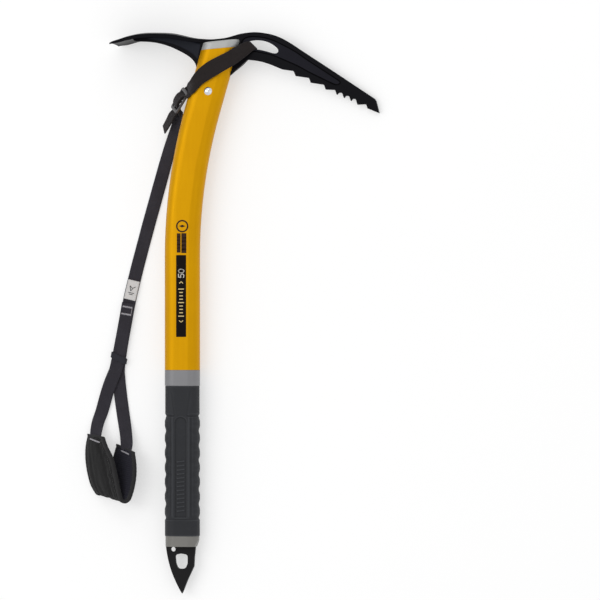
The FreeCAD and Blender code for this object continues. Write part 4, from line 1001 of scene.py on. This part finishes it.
FIVE = [(0.62, 1.0), (0.08, 1.0), (0.03, 0.56), (0.35, 0.62), (0.60, 0.48), (0.66, 0.26), (0.50, 0.06), (0.26, 0.0), (0.0, 0.1)]
NOUGHT = [(0.35 + 0.33 * math.cos(a), 0.5 + 0.5 * math.sin(a)) for a in [2 * math.pi * k / 20 for k in range(21)]]
MID = 0.6
digits = []
digits += stroke(turned(FIVE, MID + 2.6, 285.3, 5.0), 0.75)
digits += stroke(turned(NOUGHT, MID + 2.6, 289.4, 5.0), 0.75)
verts, faces = flat_mark(digits)
print_number = make("print_number", verts, faces, smooth=False)
bars = []
for k in range(9):
    y = 250.5 + 3.05 * k
    half = 2.3 if k % 4 == 0 else 1.35
    bars += stroke([(MID - half, y), (MID + half, y)], 0.85)
bars += stroke([(MID - 1.6, 280.2), (MID, 281.6), (MID + 1.6, 280.2)], 0.7)
bars += stroke([(MID - 1.6, 246.4), (MID, 245.0), (MID + 1.6, 246.4)], 0.7)
verts, faces = flat_mark(bars)
print_scale = make("print_scale", verts, faces, smooth=False)
ink = []
for x, wide, lengths in ((-1.6, 3.4, (3.0, 2.3, 2.9, 2.5, 2.0)), (3.1, 4.6, (1.7, 2.8, 2.9, 2.4, 2.6))):
    y = 308.6
    for length in lengths:
        ink += stroke([(x, y + 0.35), (x, y + length - 0.35)], wide)
        y += length + 0.75
verts, faces = flat_mark(ink, z=10.0, lift=0.06)
print_ink = make("print_ink", verts, faces, smooth=False)
mark = [[(1.6 + 3.0 * math.cos(a), 331.6 + 1.2 * math.sin(a)) for a in (0, math.pi / 2, math.pi, 1.5 * math.pi)]]
for k in range(64):
    a0, a1 = 2 * math.pi * k / 64, 2 * math.pi * (k + 1) / 64
    mark.append([(1.6 + 5.65 * math.cos(a0), 331.6 + 5.65 * math.sin(a0)), (1.6 + 5.65 * math.cos(a1), 331.6 + 5.65 * math.sin(a1)),
                 (1.6 + 4.3 * math.cos(a1), 331.6 + 4.3 * math.sin(a1)), (1.6 + 4.3 * math.cos(a0), 331.6 + 4.3 * math.sin(a0))])
verts, faces = flat_mark(mark, z=10.0, lift=0.1)
print_ring = make("print_ring", verts, faces, smooth=False)
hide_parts("rating_mark")


# the rounded foot of the head's relief, front and rear, in near-black: a painted shade line along the relief's edge
PANEL = [(53.5, 492.5), (54.2, 497.7), (56.2, 500.6), (58.83, 502.11), (63.3, 502.92), (68.58, 502.74), (74.68, 501.93), (80.78, 500.31), (86.88, 497.88), (92.89, 494.91), (99.09, 491.67), (105.19, 488.07), (114.75, 481.41), (127.5, 473.13), (137.15, 466.83), (143.0, 462.9), (144.9, 460.6), (143.2, 458.5), (140.25, 458.01), (133.88, 460.53), (127.5, 463.68), (114.75, 469.98), (105.19, 475.2), (97.08, 478.8), (88.89, 482.4), (82.88, 484.83), (76.77, 486.45), (71.04, 487.62), (65.75, 488.4), (58.5, 487.3), (54.8, 488.6)]


def panel_point(q):
    count = len(PANEL)
    i = int(math.floor(q)) % count
    f = q - math.floor(q)
    p = [Vector((*PANEL[(i + k) % count], 0)) for k in (-1, 0, 1, 2)]
    return (p[1] * 2 + (p[2] - p[0]) * f + (p[0] * 2 - p[1] * 5 + p[2] * 4 - p[3]) * f ** 2
            + (p[1] * 3 - p[0] - p[2] * 3 + p[3]) * f ** 3) * 0.5


centre = sum((Vector((*q, 0)) for q in PANEL), V(0, 0, 0)) / len(PANEL)
turn = 0.0
for a, b in zip(PANEL, PANEL[1:] + PANEL[:1]):
    turn += a[0] * b[1] - a[1] * b[0]
verts, faces = [], []
STEPS = len(PANEL) * 7
FOOT = [(-0.06, 1.96), (0.10, 1.76), (0.34, 1.60), (0.70, 1.535), (1.15, 1.51), (1.15, 1.46), (-0.06, 1.46)]
for z_sign in (1, -1):
    base = len(verts)
    for i in range(STEPS):
        q = i / 7
        here = panel_point(q)
        ahead = (panel_point(q + 0.02) - panel_point(q - 0.02)).normalized()
        inward = V(-ahead.y, ahead.x, 0) * (1 if turn > 0 else -1)
        for x, z in FOOT:
            spot = here + inward * x
            verts.append((ROT @ V(spot.x, spot.y, z * z_sign) + SHIFT) * MM)
    n = len(FOOT)
    for i in range(STEPS):
        j = (i + 1) % STEPS
        for k in range(n):
            k2 = (k + 1) % n
            faces.append((base + i * n + k, base + i * n + k2, base + j * n + k2, base + j * n + k))
relief_foot_shade_line = make("relief_foot_shade_line", verts, faces)
outward(relief_foot_shade_line)

# painted light on the adze's web, front and rear: a thin plate with a tapered rim, in a lighter copy of the head's
# black, standing for the light on the web's hollow
WEB_UPPER = [(-32.6, 501.0, 0), (-26.0, 502.1, 0), (-15.5, 502.1, 0), (-5.0, 500.9, 0), (7.3, 498.9, 0),
             (13.5, 497.8, 0), (17.0, 496.4, 0)]
WEB_LOWER = [(-32.4, 500.9, 0), (-27.1, 500.4, 0), (-19.1, 499.0, 0), (-8.5, 496.2, 0), (0.3, 492.7, 0),
             (9.8, 486.9, 0), (14.3, 481.6, 0)]
verts, faces = [], []
NU, NV = 48, 6
for z_sign in (1, -1):
    base = len(verts)
    for layer in (0, 1):
        for i in range(NU + 1):
            a, b = through(WEB_UPPER, 6 * i / NU), through(WEB_LOWER, 6 * i / NU)
            for j in range(NV + 1):
                spot = a + (b - a) * j / NV
                rim_here = i in (0, NU) or j in (0, NV)
                z = 1.90 if layer else (2.005 if rim_here else 2.05)
                verts.append((ROT @ V(spot.x, spot.y, z * z_sign) + SHIFT) * MM)
    w_row, h_all = NV + 1, (NU + 1) * (NV + 1)
    for layer in (0, 1):
        for i in range(NU):
            for j in range(NV):
                q = [base + layer * h_all + k for k in (i * w_row + j, i * w_row + j + 1, (i + 1) * w_row + j + 1, (i + 1) * w_row + j)]
                faces.append(tuple(q if layer else reversed(q)))
    border = ([j for j in range(NV)] + [i * w_row + NV for i in range(NU)] + [NU * w_row + j for j in range(NV, 0, -1)]
              + [i * w_row for i in range(NU, 0, -1)])
    for a, b in zip(border, border[1:] + border[:1]):
        faces.append((base + a, base + b, base + h_all + b, base + h_all + a))
web_painted_light = make("web_painted_light", verts, faces)
outward(web_painted_light)


# ------------------------------------------------------------------ materials
class Net:
    def __init__(self, name):
        self.mat = bpy.data.materials.new(name)
        self.mat.use_nodes = True
        self.tree = self.mat.node_tree
        self.tree.nodes.clear()
        self.out = self.tree.nodes.new("ShaderNodeOutputMaterial")
        self.bsdf = self.tree.nodes.new("ShaderNodeBsdfPrincipled")
        self.tree.links.new(self.bsdf.outputs[0], self.out.inputs[0])

    def add(self, kind, props=None, **ins):
        node = self.tree.nodes.new("ShaderNode" + kind)
        for k, v in (props or {}).items():
            setattr(node, k, v)
        for k, v in ins.items():
            key = int(k[1:]) if k[0] == "i" and k[1:].isdigit() else k.replace("_", " ")
            self.put(node.inputs[key], v)
        return node

    def put(self, socket, v):
        if isinstance(v, bpy.types.NodeSocket):
            self.tree.links.new(v, socket)
        elif isinstance(v, bpy.types.Node):
            self.tree.links.new(v.outputs[0], socket)
        else:
            socket.default_value = v

    def set(self, **ins):
        for k, v in ins.items():
            self.put(self.bsdf.inputs[k.replace("_", " ")], v)

    def math(self, op, a, b=0.0, c=0.0):
        return self.add("Math", {"operation": op}, i0=a, i1=b, i2=c).outputs[0]

    def ramp(self, fac, stops, mode="LINEAR"):
        node = self.tree.nodes.new("ShaderNodeValToRGB")
        node.color_ramp.interpolation = mode
        els = node.color_ramp.elements
        while len(els) < len(stops):
            els.new(0.5)
        for e, (p, c) in zip(els, stops):
            e.position = p
            e.color = c if len(c) == 4 else (*c, 1)
        self.put(node.inputs[0], fac)
        return node.outputs[0]

    def mix(self, fac, a, b):
        node = self.tree.nodes.new("ShaderNodeMix")
        node.data_type = "RGBA"
        self.put(node.inputs[0], fac)
        self.put(node.inputs[6], a if not isinstance(a, tuple) else (*a[:3], 1))
        self.put(node.inputs[7], b if not isinstance(b, tuple) else (*b[:3], 1))
        return node.outputs[2]

    def span(self, fac, lo, hi):
        node = self.add("MapRange", None, Value=fac)
        node.inputs["To Min"].default_value = lo
        node.inputs["To Max"].default_value = hi
        return node.outputs[0]

    def coords(self, scale=(1, 1, 1), kind="Object", turn=(0, 0, 0)):
        tc = self.add("TexCoord")
        node = self.add("Mapping", None, Vector=tc.outputs[kind])
        node.inputs["Scale"].default_value = scale
        node.inputs["Rotation"].default_value = turn
        return node.outputs[0]

    def noise(self, vec, scale, detail=3.0, rough=0.55, distort=0.0):
        return self.add("TexNoise", None, Vector=vec, Scale=scale, Detail=detail, Roughness=rough,
                        Distortion=distort).outputs[0]

    def bump(self, height, strength, distance, normal=None):
        node = self.add("Bump", None, Height=height, Strength=strength, Distance=distance)
        if normal is not None:
            self.put(node.inputs["Normal"], normal)
        return node.outputs[0]


def grey(v, tint=(1, 1, 1)):
    return (v * tint[0], v * tint[1], v * tint[2])


def anodised():
    m = Net("yellow_anodised")
    fine = m.noise(m.coords((1, 0.018, 1)), 2600, 2, 0.6)
    streak = m.noise(m.coords((1, 0.03, 1)), 420, 3, 0.6)
    cloud = m.noise(m.coords(), 38, 3, 0.5)
    c = m.mix(m.span(streak, 0.15, 0.85), (0.575, 0.272, 0.0008), (0.66, 0.335, 0.0012))
    c = m.mix(m.math("MULTIPLY", m.ramp(cloud, [(0.35, (0, 0, 0)), (0.7, (1, 1, 1))]), 0.25), c, (0.52, 0.235, 0.0008))
    m.set(Base_Color=c, Metallic=0.42, Roughness=m.span(fine, 0.34, 0.46))
    dent = m.noise(m.coords(), 130, 2, 0.5)
    scratch = m.ramp(m.noise(m.coords((1, 0.05, 1), turn=(0, 0, 0.2)), 900, 1, 0.5, 0.6),
                     [(0.70, (0, 0, 0)), (0.74, (1, 1, 1))])
    n1 = m.bump(fine, 0.10, 0.00006)
    n2 = m.bump(dent, 0.06, 0.0004, n1)
    m.set(Normal=m.bump(scratch, 0.08, 0.0001, n2), Specular_IOR_Level=0.06)
    return m.mat


def black_steel(name, base=0.011, tint=(0.95, 0.95, 1.25), rough=(0.36, 0.5), spec=0.14, relief=None):
    m = Net(name)
    grain = m.noise(m.coords(), 2100, 2, 0.6)
    cloud = m.noise(m.coords(), 60, 4, 0.6)
    rub = m.ramp(m.noise(m.coords((1, 1, 1), turn=(0, 0, 0.6)), 260, 5, 0.7, 0.8), [(0.66, (0, 0, 0)), (0.80, (1, 1, 1))])
    c = m.mix(m.span(cloud, 0.0, 0.9), grey(base * 0.75, tint), grey(base * 1.35, tint))
    c = m.mix(m.math("MULTIPLY", rub, 0.16), c, (0.05, 0.05, 0.055))
    if relief:
        # height above the middle of the plate, so that the raised rim is painted darker than the relief: painted shade
        # on everything but the relief's floor
        axis, level, edge = relief
        height = m.add("VectorMath", {"operation": "DOT_PRODUCT"}, i0=m.coords(), i1=tuple(axis)).outputs[1]
        height = m.math("ABSOLUTE", m.math("SUBTRACT", height, level))
        facing = m.add("VectorMath", {"operation": "DOT_PRODUCT"}, i0=m.add("TexCoord").outputs["Normal"],
                       i1=tuple(axis)).outputs[1]
        unshaded_relief_floor = m.math("MULTIPLY", m.math("LESS_THAN", height, edge), m.math("GREATER_THAN", height, edge - 0.5 * MM))
        unshaded_relief_floor = m.math("MULTIPLY", unshaded_relief_floor, m.math("GREATER_THAN", m.math("ABSOLUTE", facing), 0.9))
        # painted shade: the rim, everything off the relief's floor, is darkened
        rim = m.math("SUBTRACT", 1.0, unshaded_relief_floor)
        c = m.mix(m.math("MULTIPLY", rim, 0.72), c, grey(base * 0.12, tint))
    # painted shade: colour darkened in crevices by ambient occlusion
    ao = m.add("AmbientOcclusion", {"samples": 8, "only_local": True}, Distance=0.003)
    c = m.mix(m.ramp(ao.outputs["AO"], [(0.55, (1, 1, 1)), (0.96, (0, 0, 0))]), c, grey(base * 0.12, tint))
    m.set(Base_Color=c, Metallic=0.0, Roughness=m.span(cloud, rough[0], rough[1]))
    n1 = m.bump(grain, 0.22, 0.00012)
    m.set(Normal=m.bump(cloud, 0.08, 0.0006, n1), Specular_IOR_Level=spec)
    return m.mat


def bare_metal(name, color, rough, stretch=(1, 1, 1), scale=1400, bump=0.12):
    m = Net(name)
    fine = m.noise(m.coords(stretch), scale, 3, 0.6)
    cloud = m.noise(m.coords(), 160, 3, 0.6)
    c = m.mix(m.span(cloud, 0, 1), tuple(x * 0.86 for x in color), tuple(min(1, x * 1.06) for x in color))
    m.set(Base_Color=c, Metallic=1.0, Roughness=m.span(fine, rough - 0.06, rough + 0.08))
    m.set(Normal=m.bump(fine, bump, 0.00005))
    return m.mat


def moulded(name, color, rough=0.42, grain=1500, bump=0.2, metallic=0.0, spec=0.5):
    m = Net(name)
    g = m.add("TexVoronoi", {"feature": "SMOOTH_F1"}, Vector=m.coords(), Scale=grain).outputs[0]
    cloud = m.noise(m.coords(), 90, 4, 0.6)
    c = m.mix(m.span(cloud, 0.1, 0.9), tuple(x * 0.88 for x in color), tuple(x * 1.1 for x in color))
    m.set(Base_Color=c, Metallic=metallic, Roughness=m.span(cloud, rough - 0.05, rough + 0.07))
    n1 = m.bump(g, bump, 0.00010)
    m.set(Normal=m.bump(cloud, 0.06, 0.0005, n1), Specular_IOR_Level=spec)
    return m.mat


def rubber():
    m = Net("grip_rubber_skin")
    g = m.add("TexVoronoi", {"feature": "F1"}, Vector=m.coords(), Scale=1250).outputs[0]
    cloud = m.noise(m.coords(), 70, 4, 0.65)
    dust = m.ramp(m.noise(m.coords(), 300, 5, 0.7), [(0.5, (0, 0, 0)), (0.8, (1, 1, 1))])
    c = m.mix(m.span(cloud, 0.1, 0.9), (0.0165, 0.0175, 0.0205), (0.024, 0.0255, 0.0295))
    c = m.mix(m.math("MULTIPLY", dust, 0.12), c, (0.055, 0.057, 0.062))
    # lighter on convex edges, as wear and as painted highlight; darker in concave grooves, as painted shade
    point = m.add("NewGeometry").outputs["Pointiness"]
    c = m.mix(m.math("MULTIPLY", m.ramp(point, [(0.503, (0, 0, 0)), (0.54, (1, 1, 1))]), 0.75), c, (0.058, 0.061, 0.068))
    c = m.mix(m.math("MULTIPLY", m.ramp(point, [(0.46, (1, 1, 1)), (0.497, (0, 0, 0))]), 0.85), c, (0.005, 0.0055, 0.0065))
    # painted shade: colour darkened in crevices by ambient occlusion
    ao = m.add("AmbientOcclusion", {"samples": 8, "only_local": True}, Distance=0.0035)
    c = m.mix(m.ramp(ao.outputs["AO"], [(0.6, (0.7, 0.7, 0.7)), (0.95, (0, 0, 0))]), c, (0.006, 0.0065, 0.0075))
    m.set(Base_Color=c, Roughness=m.span(cloud, 0.48, 0.6), Specular_IOR_Level=0.2)
    n1 = m.bump(g, 0.28, 0.00014)
    m.set(Normal=m.bump(cloud, 0.08, 0.0006, n1))
    return m.mat


def woven(name, color, warp=(1.5, 0.78), rib=0.35, sheen=0.08, rough=0.78, bump=0.55, light=1.55):
    """Webbing: offset picks across the width, from UVs in hundredths of a millimetre."""
    m = Net(name)
    uv = m.add("TexCoord").outputs["UV"]
    mp = m.add("Mapping", None, Vector=uv)
    mp.inputs["Scale"].default_value = (100, 100, 100)
    brick = m.tree.nodes.new("ShaderNodeTexBrick")
    brick.offset = 0.5
    brick.squash = 1.0
    m.put(brick.inputs["Vector"], mp.outputs[0])
    brick.inputs["Color1"].default_value = (1, 1, 1, 1)
    brick.inputs["Color2"].default_value = (0.82, 0.82, 0.82, 1)
    brick.inputs["Mortar"].default_value = (0, 0, 0, 1)
    brick.inputs["Scale"].default_value = 1.0
    brick.inputs["Brick Width"].default_value = warp[0]
    brick.inputs["Row Height"].default_value = warp[1]
    brick.inputs["Mortar Size"].default_value = 0.16
    brick.inputs["Mortar Smooth"].default_value = 1.0
    wave = m.add("TexWave", {"wave_type": "BANDS", "bands_direction": "X", "wave_profile": "SIN"},
                 Vector=mp.outputs[0], Scale=0.55, Distortion=1.2, Detail=2.0).outputs[1]
    fuzz = m.noise(m.coords(), 3000, 3, 0.7)
    cloud = m.noise(m.coords(), 70, 3, 0.6)
    height = m.math("ADD", brick.outputs[0], m.math("MULTIPLY", wave, rib))
    height = m.math("ADD", height, m.math("MULTIPLY", fuzz, 0.25))
    dark = tuple(x * 0.55 for x in color)
    bright = tuple(x * light for x in color)
    c = m.mix(m.math("MULTIPLY", brick.outputs[0], m.span(fuzz, 0.45, 1.0)), dark, bright)
    c = m.mix(m.math("MULTIPLY", m.ramp(cloud, [(0.4, (0, 0, 0)), (0.75, (1, 1, 1))]), 0.3), c,
              tuple(x * 1.9 for x in color))
    m.set(Base_Color=c, Roughness=rough, Specular_IOR_Level=0.12, Sheen_Weight=sheen, Sheen_Roughness=0.5,
          Normal=m.bump(height, bump, 0.00022))
    m.bsdf.inputs["Sheen Tint"].default_value = (0.8, 0.8, 0.9, 1)
    return m.mat


def ribbed(name, color, across=0.9, sheen=0.08, bump=0.6):
    """Grosgrain tape: fine ribs square to its length."""
    m = Net(name)
    uv = m.add("TexCoord").outputs["UV"]
    mp = m.add("Mapping", None, Vector=uv)
    mp.inputs["Scale"].default_value = (100, 100, 100)
    wave = m.add("TexWave", {"wave_type": "BANDS", "bands_direction": "X", "wave_profile": "SIN"},
                 Vector=mp.outputs[0], Scale=0.31 / across, Distortion=0.5, Detail=1.0).outputs[1]
    fuzz = m.noise(m.coords(), 2600, 3, 0.7)
    c = m.mix(m.math("MULTIPLY", wave, m.span(fuzz, 0.5, 1.0)), tuple(x * 0.6 for x in color), tuple(x * 1.5 for x in color))
    m.set(Base_Color=c, Roughness=0.8, Specular_IOR_Level=0.12, Sheen_Weight=sheen, Sheen_Roughness=0.5,
          Normal=m.bump(m.math("ADD", wave, m.math("MULTIPLY", fuzz, 0.35)), bump, 0.00016))
    return m.mat


def pad_cloth():
    m = Net("cuff_outer_cloth")
    uv = m.add("TexCoord").outputs["UV"]
    mp = m.add("Mapping", None, Vector=uv)
    mp.inputs["Scale"].default_value = (100, 100, 100)
    a = m.add("TexWave", {"bands_direction": "X"}, Vector=mp.outputs[0], Scale=0.48, Distortion=0.8, Detail=1.0).outputs[1]
    b = m.add("TexWave", {"bands_direction": "Y"}, Vector=mp.outputs[0], Scale=0.48, Distortion=0.8, Detail=1.0).outputs[1]
    cross = m.math("MAXIMUM", a, b)
    cloud = m.noise(m.coords(), 55, 4, 0.6)
    fuzz = m.noise(m.coords(), 2400, 3, 0.7)
    crease = m.noise(m.coords((1, 1, 1)), 120, 3, 0.5, 0.6)
    c = m.mix(m.math("MULTIPLY", cross, m.span(fuzz, 0.5, 1.0)), (0.0060, 0.0060, 0.0063), (0.0195, 0.0192, 0.0197))
    c = m.mix(m.math("MULTIPLY", m.ramp(cloud, [(0.4, (0, 0, 0)), (0.8, (1, 1, 1))]), 0.35), c, (0.030, 0.0295, 0.030))
    n1 = m.bump(m.math("ADD", cross, m.math("MULTIPLY", fuzz, 0.3)), 0.5, 0.00018)
    m.set(Base_Color=c, Roughness=0.82, Specular_IOR_Level=0.12, Sheen_Weight=0.06, Sheen_Roughness=0.5,
          Normal=m.bump(crease, 0.25, 0.0012, n1))
    return m.mat


def mesh_cloth():
    m = Net("cuff_mesh_cloth")
    uv = m.add("TexCoord").outputs["UV"]
    mp = m.add("Mapping", None, Vector=uv)
    mp.inputs["Scale"].default_value = (100, 100, 100)
    cells = m.add("TexVoronoi", {"feature": "F1", "voronoi_dimensions": "2D"}, Vector=mp.outputs[0], Scale=0.85, Randomness=0.12)
    hole = m.ramp(cells.outputs[0], [(0.12, (0, 0, 0)), (0.45, (1, 1, 1))])
    rows = m.add("TexWave", {"bands_direction": "X"}, Vector=mp.outputs[0], Scale=0.17, Distortion=0.6).outputs[1]
    fuzz = m.noise(m.coords(), 2400, 3, 0.7)
    c = m.mix(m.math("MULTIPLY", hole, m.span(rows, 0.55, 1.0)), (0.005, 0.005, 0.008), (0.027, 0.026, 0.038))
    m.set(Base_Color=c, Roughness=0.85, Specular_IOR_Level=0.1, Sheen_Weight=0.03, Sheen_Roughness=0.5,
          Normal=m.bump(m.math("ADD", hole, m.math("MULTIPLY", fuzz, 0.2)), 0.6, 0.00025))
    return m.mat


def thread_mat(name, color, rough=0.6):
    m = Net(name)
    twist = m.add("TexWave", {"bands_direction": "DIAGONAL"}, Vector=m.coords(), Scale=520, Distortion=1.5, Detail=1.0).outputs[1]
    fuzz = m.noise(m.coords(), 1800, 2, 0.6)
    c = m.mix(twist, tuple(x * 0.7 for x in color), tuple(min(1, x * 1.15) for x in color))
    m.set(Base_Color=c, Roughness=rough, Sheen_Weight=0.2,
          Normal=m.bump(m.math("ADD", twist, fuzz), 0.35, 0.0001))
    return m.mat


def printed(name, color, rough=0.35):
    m = Net(name)
    cloud = m.noise(m.coords(), 400, 4, 0.6)
    worn = m.ramp(m.noise(m.coords((1, 0.3, 1)), 900, 4, 0.7), [(0.60, (0, 0, 0)), (0.78, (1, 1, 1))])
    c = m.mix(m.span(cloud, 0, 1), tuple(x * 0.85 for x in color), tuple(min(1, x * 1.12) for x in color))
    c = m.mix(m.math("MULTIPLY", worn, 0.12), c, tuple(min(1, x * 2 + 0.02) for x in color))
    m.set(Base_Color=c, Roughness=m.span(cloud, rough, rough + 0.15), Normal=m.bump(cloud, 0.08, 0.00005), Specular_IOR_Level=0.1)
    return m.mat


def label_cloth():
    m = Net("white_label_cloth")
    uv = m.add("TexCoord").outputs["UV"]
    mp = m.add("Mapping", None, Vector=uv)
    mp.inputs["Scale"].default_value = (100, 100, 100)
    a = m.add("TexWave", {"bands_direction": "X"}, Vector=mp.outputs[0], Scale=0.9, Distortion=0.6).outputs[1]
    b = m.add("TexWave", {"bands_direction": "Y"}, Vector=mp.outputs[0], Scale=0.9, Distortion=0.6).outputs[1]
    cross = m.math("MAXIMUM", a, b)
    cloud = m.noise(m.coords(), 200, 3, 0.6)
    c = m.mix(cross, (0.49, 0.48, 0.475), (0.65, 0.635, 0.63))
    c = m.mix(m.math("MULTIPLY", cloud, 0.15), c, (0.44, 0.43, 0.43))
    m.set(Base_Color=c, Roughness=0.75, Sheen_Weight=0.15, Normal=m.bump(cross, 0.35, 0.00012))
    return m.mat


# height along the plate's normal, in the head's own coordinates
place = NODES["head"].matrix_world
plate_normal = ROT @ V(0, 0, 1)
HEAD_AXIS = place.to_3x3().transposed() @ plate_normal
HEAD_LEVEL = plate_normal.dot(SHIFT * MM) - plate_normal.dot(place.translation)

MAT = {
    "shaft": anodised(),
    # head: painted shade on its raised rim, through the relief mask
    "head": black_steel("head_black_steel", 0.0098, (0.98, 0.95, 1.4), (0.32, 0.46), 0.07,
                        (HEAD_AXIS, HEAD_LEVEL, 1.78 * MM)),
    # painted light: a lighter copy of the head steel, for the web's hollow
    "web": black_steel("web_painted_light_black", 0.0150, (0.92, 1.02, 1.42), (0.34, 0.5), 0.08),
    # painted shade: a near-black copy of the head steel, for the line along the relief's edge
    "foot": black_steel("relief_foot_shade_line_black", 0.0012, (1.0, 1.0, 1.3), (0.45, 0.6), 0.03),
    "spike": black_steel("spike_black_steel", 0.0062, (1.08, 1.0, 1.12), (0.40, 0.54)),
    "insert": moulded("insert_satin_silver", (0.42, 0.425, 0.42), 0.42, 2300, 0.10, 0.35, 0.4),
    "rivet": bare_metal("rivet_bright_metal", (0.80, 0.83, 0.88), 0.20, scale=2200, bump=0.06),
    "ring": moulded("ring_grey_cast", (0.215, 0.215, 0.225), 0.36, 1900, 0.15, 0.2, 0.35),
    "ferrule": moulded("ferrule_grey_cast", (0.185, 0.18, 0.168), 0.40, 1600, 0.2, 0.15, 0.3),
    "grip": rubber(),
    "buckle": moulded("slide_plastic", (0.060, 0.056, 0.060), 0.30, 1700, 0.12, 0.0, 0.5),
    "webbing": woven("black_webbing", (0.0280, 0.0260, 0.0325)),
    "band": woven("black_webbing_band", (0.0165, 0.0130, 0.0125)),
    "keeper": ribbed("keeper_weave", (0.0265, 0.0270, 0.0345), 1.0),
    "binding": ribbed("binding_tape", (0.0235, 0.0230, 0.0240), 0.8),
    "cloth": pad_cloth(),
    "mesh": mesh_cloth(),
    "label": label_cloth(),
    "thread": thread_mat("light_thread", (0.40, 0.385, 0.42)),
    # near-black thread; along the binding's edge it is also painted shade
    "dark_thread_groove_shade": thread_mat("dark_thread_groove_shade", (0.0035, 0.0035, 0.004)),
    "label_thread": thread_mat("label_thread", (0.60, 0.60, 0.60)),
    "mark_thread": thread_mat("mark_thread", (0.018, 0.018, 0.02)),
    "film": printed("black_film", (0.0036, 0.0016, 0.0012), 0.5),
    "ink_black": printed("dark_ink", (0.035, 0.016, 0.008)),
    "ink_cream": printed("cream_ink", (0.66, 0.52, 0.24)),
    "ink_silver": printed("silver_ink", (0.62, 0.60, 0.55)),
}


def wear(obj, mat):
    obj.data.materials.clear()
    obj.data.materials.append(mat)


for node, mat in (("shaft_tube", "shaft"), ("head", "head"), ("head_insert_front", "insert"),
                  ("head_insert_rear", "insert"), ("head_rivets", "rivet"), ("spike_pins", "rivet"),
                  ("grip_collar", "ring"), ("spike_ferrule", "ferrule"), ("spike", "spike"),
                  ("size_label", "film")):
    wear(NODES[node], MAT[mat])

for piece, mat, slot in (
        (leash_strap, "webbing", "webbing"), (wrist_loop_leg, "webbing", "webbing"),
        (leash_head_band, "band", "webbing"), (slide_buckle, "buckle", "buckle_plastic"),
        (keeper_band, "keeper", "keeper_webbing"), (strap_tacks, "thread", "stitch_thread"),
        (strap_label, "label", "label_cloth"), (label_mark, "mark_thread", "stitch_thread"),
        (label_stitches, "label_thread", "stitch_thread"), (cuff_shell, "cloth", "pad_fabric"),
        (cuff_lining, "mesh", "pad_mesh"), (cuff_binding, "binding", "pad_binding"),
        (cuff_tack_left, "thread", "stitch_thread"), (cuff_tack_right, "thread", "stitch_thread"),
        (cuff_topstitch_and_shade, "dark_thread_groove_shade", "stitch_thread"), (grip_cover, "grip", "grip_rubber"),
        (relief_foot_shade_line, "foot", "head_steel"), (web_painted_light, "web", "head_steel"), (print_number, "ink_silver", "print_black"), (print_scale, "ink_cream", "print_black"),
        (print_ink, "ink_black", "print_black"), (print_ring, "ink_black", "print_black")):
    wear(piece, MAT[mat])


# ------------------------------------------------------------------ edges of the hard parts
def soften(node, width, segments=2, angle=28):
    obj = NODES[node]
    obj.data.polygons.foreach_set("use_smooth", [True] * len(obj.data.polygons))
    weld = obj.modifiers.new("weld", "WELD")
    weld.merge_threshold = 0.000004
    flat = obj.modifiers.new("flat", "DECIMATE")
    flat.decimate_type = "DISSOLVE"
    flat.angle_limit = math.radians(0.35)
    bevel = obj.modifiers.new("bevel", "BEVEL")
    bevel.width = width * MM
    bevel.segments = segments
    bevel.limit_method = "ANGLE"
    bevel.angle_limit = math.radians(angle)
    bevel.use_clamp_overlap = True
    bevel.harden_normals = False
    weighted = obj.modifiers.new("normals", "WEIGHTED_NORMAL")
    weighted.keep_sharp = True
    weighted.weight = 70


SOFTEN = (("head", 0.40, 3, 30), ("spike", 0.35, 2, 30), ("spike_ferrule", 0.4, 2, 30), ("grip_collar", 0.4, 2, 30),
          ("head_insert_front", 0.25, 2, 35), ("head_insert_rear", 0.25, 2, 35), ("shaft_tube", 0.3, 2, 35))
for node, width, segments, angle in SOFTEN:
    soften(node, width, segments, angle)


# ------------------------------------------------------------------ floor and light
def plane(name, size, z=0.0):
    mesh = bpy.data.meshes.new(name)
    mesh.from_pydata([(-size, -size, z), (size, -size, z), (size, size, z), (-size, size, z)], [], [(0, 1, 2, 3)])
    obj = bpy.data.objects.new(name, mesh)
    scene.collection.objects.link(obj)
    return obj


floor = plane("floor", 6.0, -0.0002)
m = Net("floor_white")
m.set(Base_Color=m.mix(m.noise(m.coords(), 3.0, 2), (0.54, 0.54, 0.54), (0.56, 0.56, 0.56)), Roughness=0.95,
      Specular_IOR_Level=0.0, Emission_Color=(1, 1, 1, 1), Emission_Strength=0.46)
floor.data.materials.append(m.mat)

world = bpy.data.worlds.new("studio")
scene.world = world
world.use_nodes = True
world.node_tree.nodes["Background"].inputs[0].default_value = (1.0, 1.0, 1.0, 1)
world.node_tree.nodes["Background"].inputs[1].default_value = 0.80


def area(name, place, target, size, power, shape="RECTANGLE", size_y=None):
    data = bpy.data.lights.new(name, "AREA")
    data.shape = shape
    data.size = size
    if size_y:
        data.size_y = size_y
    data.energy = power
    obj = bpy.data.objects.new(name, data)
    scene.collection.objects.link(obj)
    place, target = Vector(place), Vector(target)
    obj.location = place
    obj.rotation_euler = (target - place).to_track_quat("-Z", "Y").to_euler()
    return obj


area("key", (-1.1, 0.3, 1.9), (0, 0, 0), 0.8, 9.0, size_y=1.8)
area("fill", (1.6, -0.4, 1.6), (0, 0, 0), 1.4, 1.5, size_y=1.4)
area("top", (0.1, 1.6, 1.8), (0, 0.1, 0), 1.2, 3.0, size_y=0.8)

scene.view_settings.view_transform = "Standard"
scene.view_settings.look = "None"
scene.view_settings.exposure = 0.0
scene.view_settings.gamma = 1.0
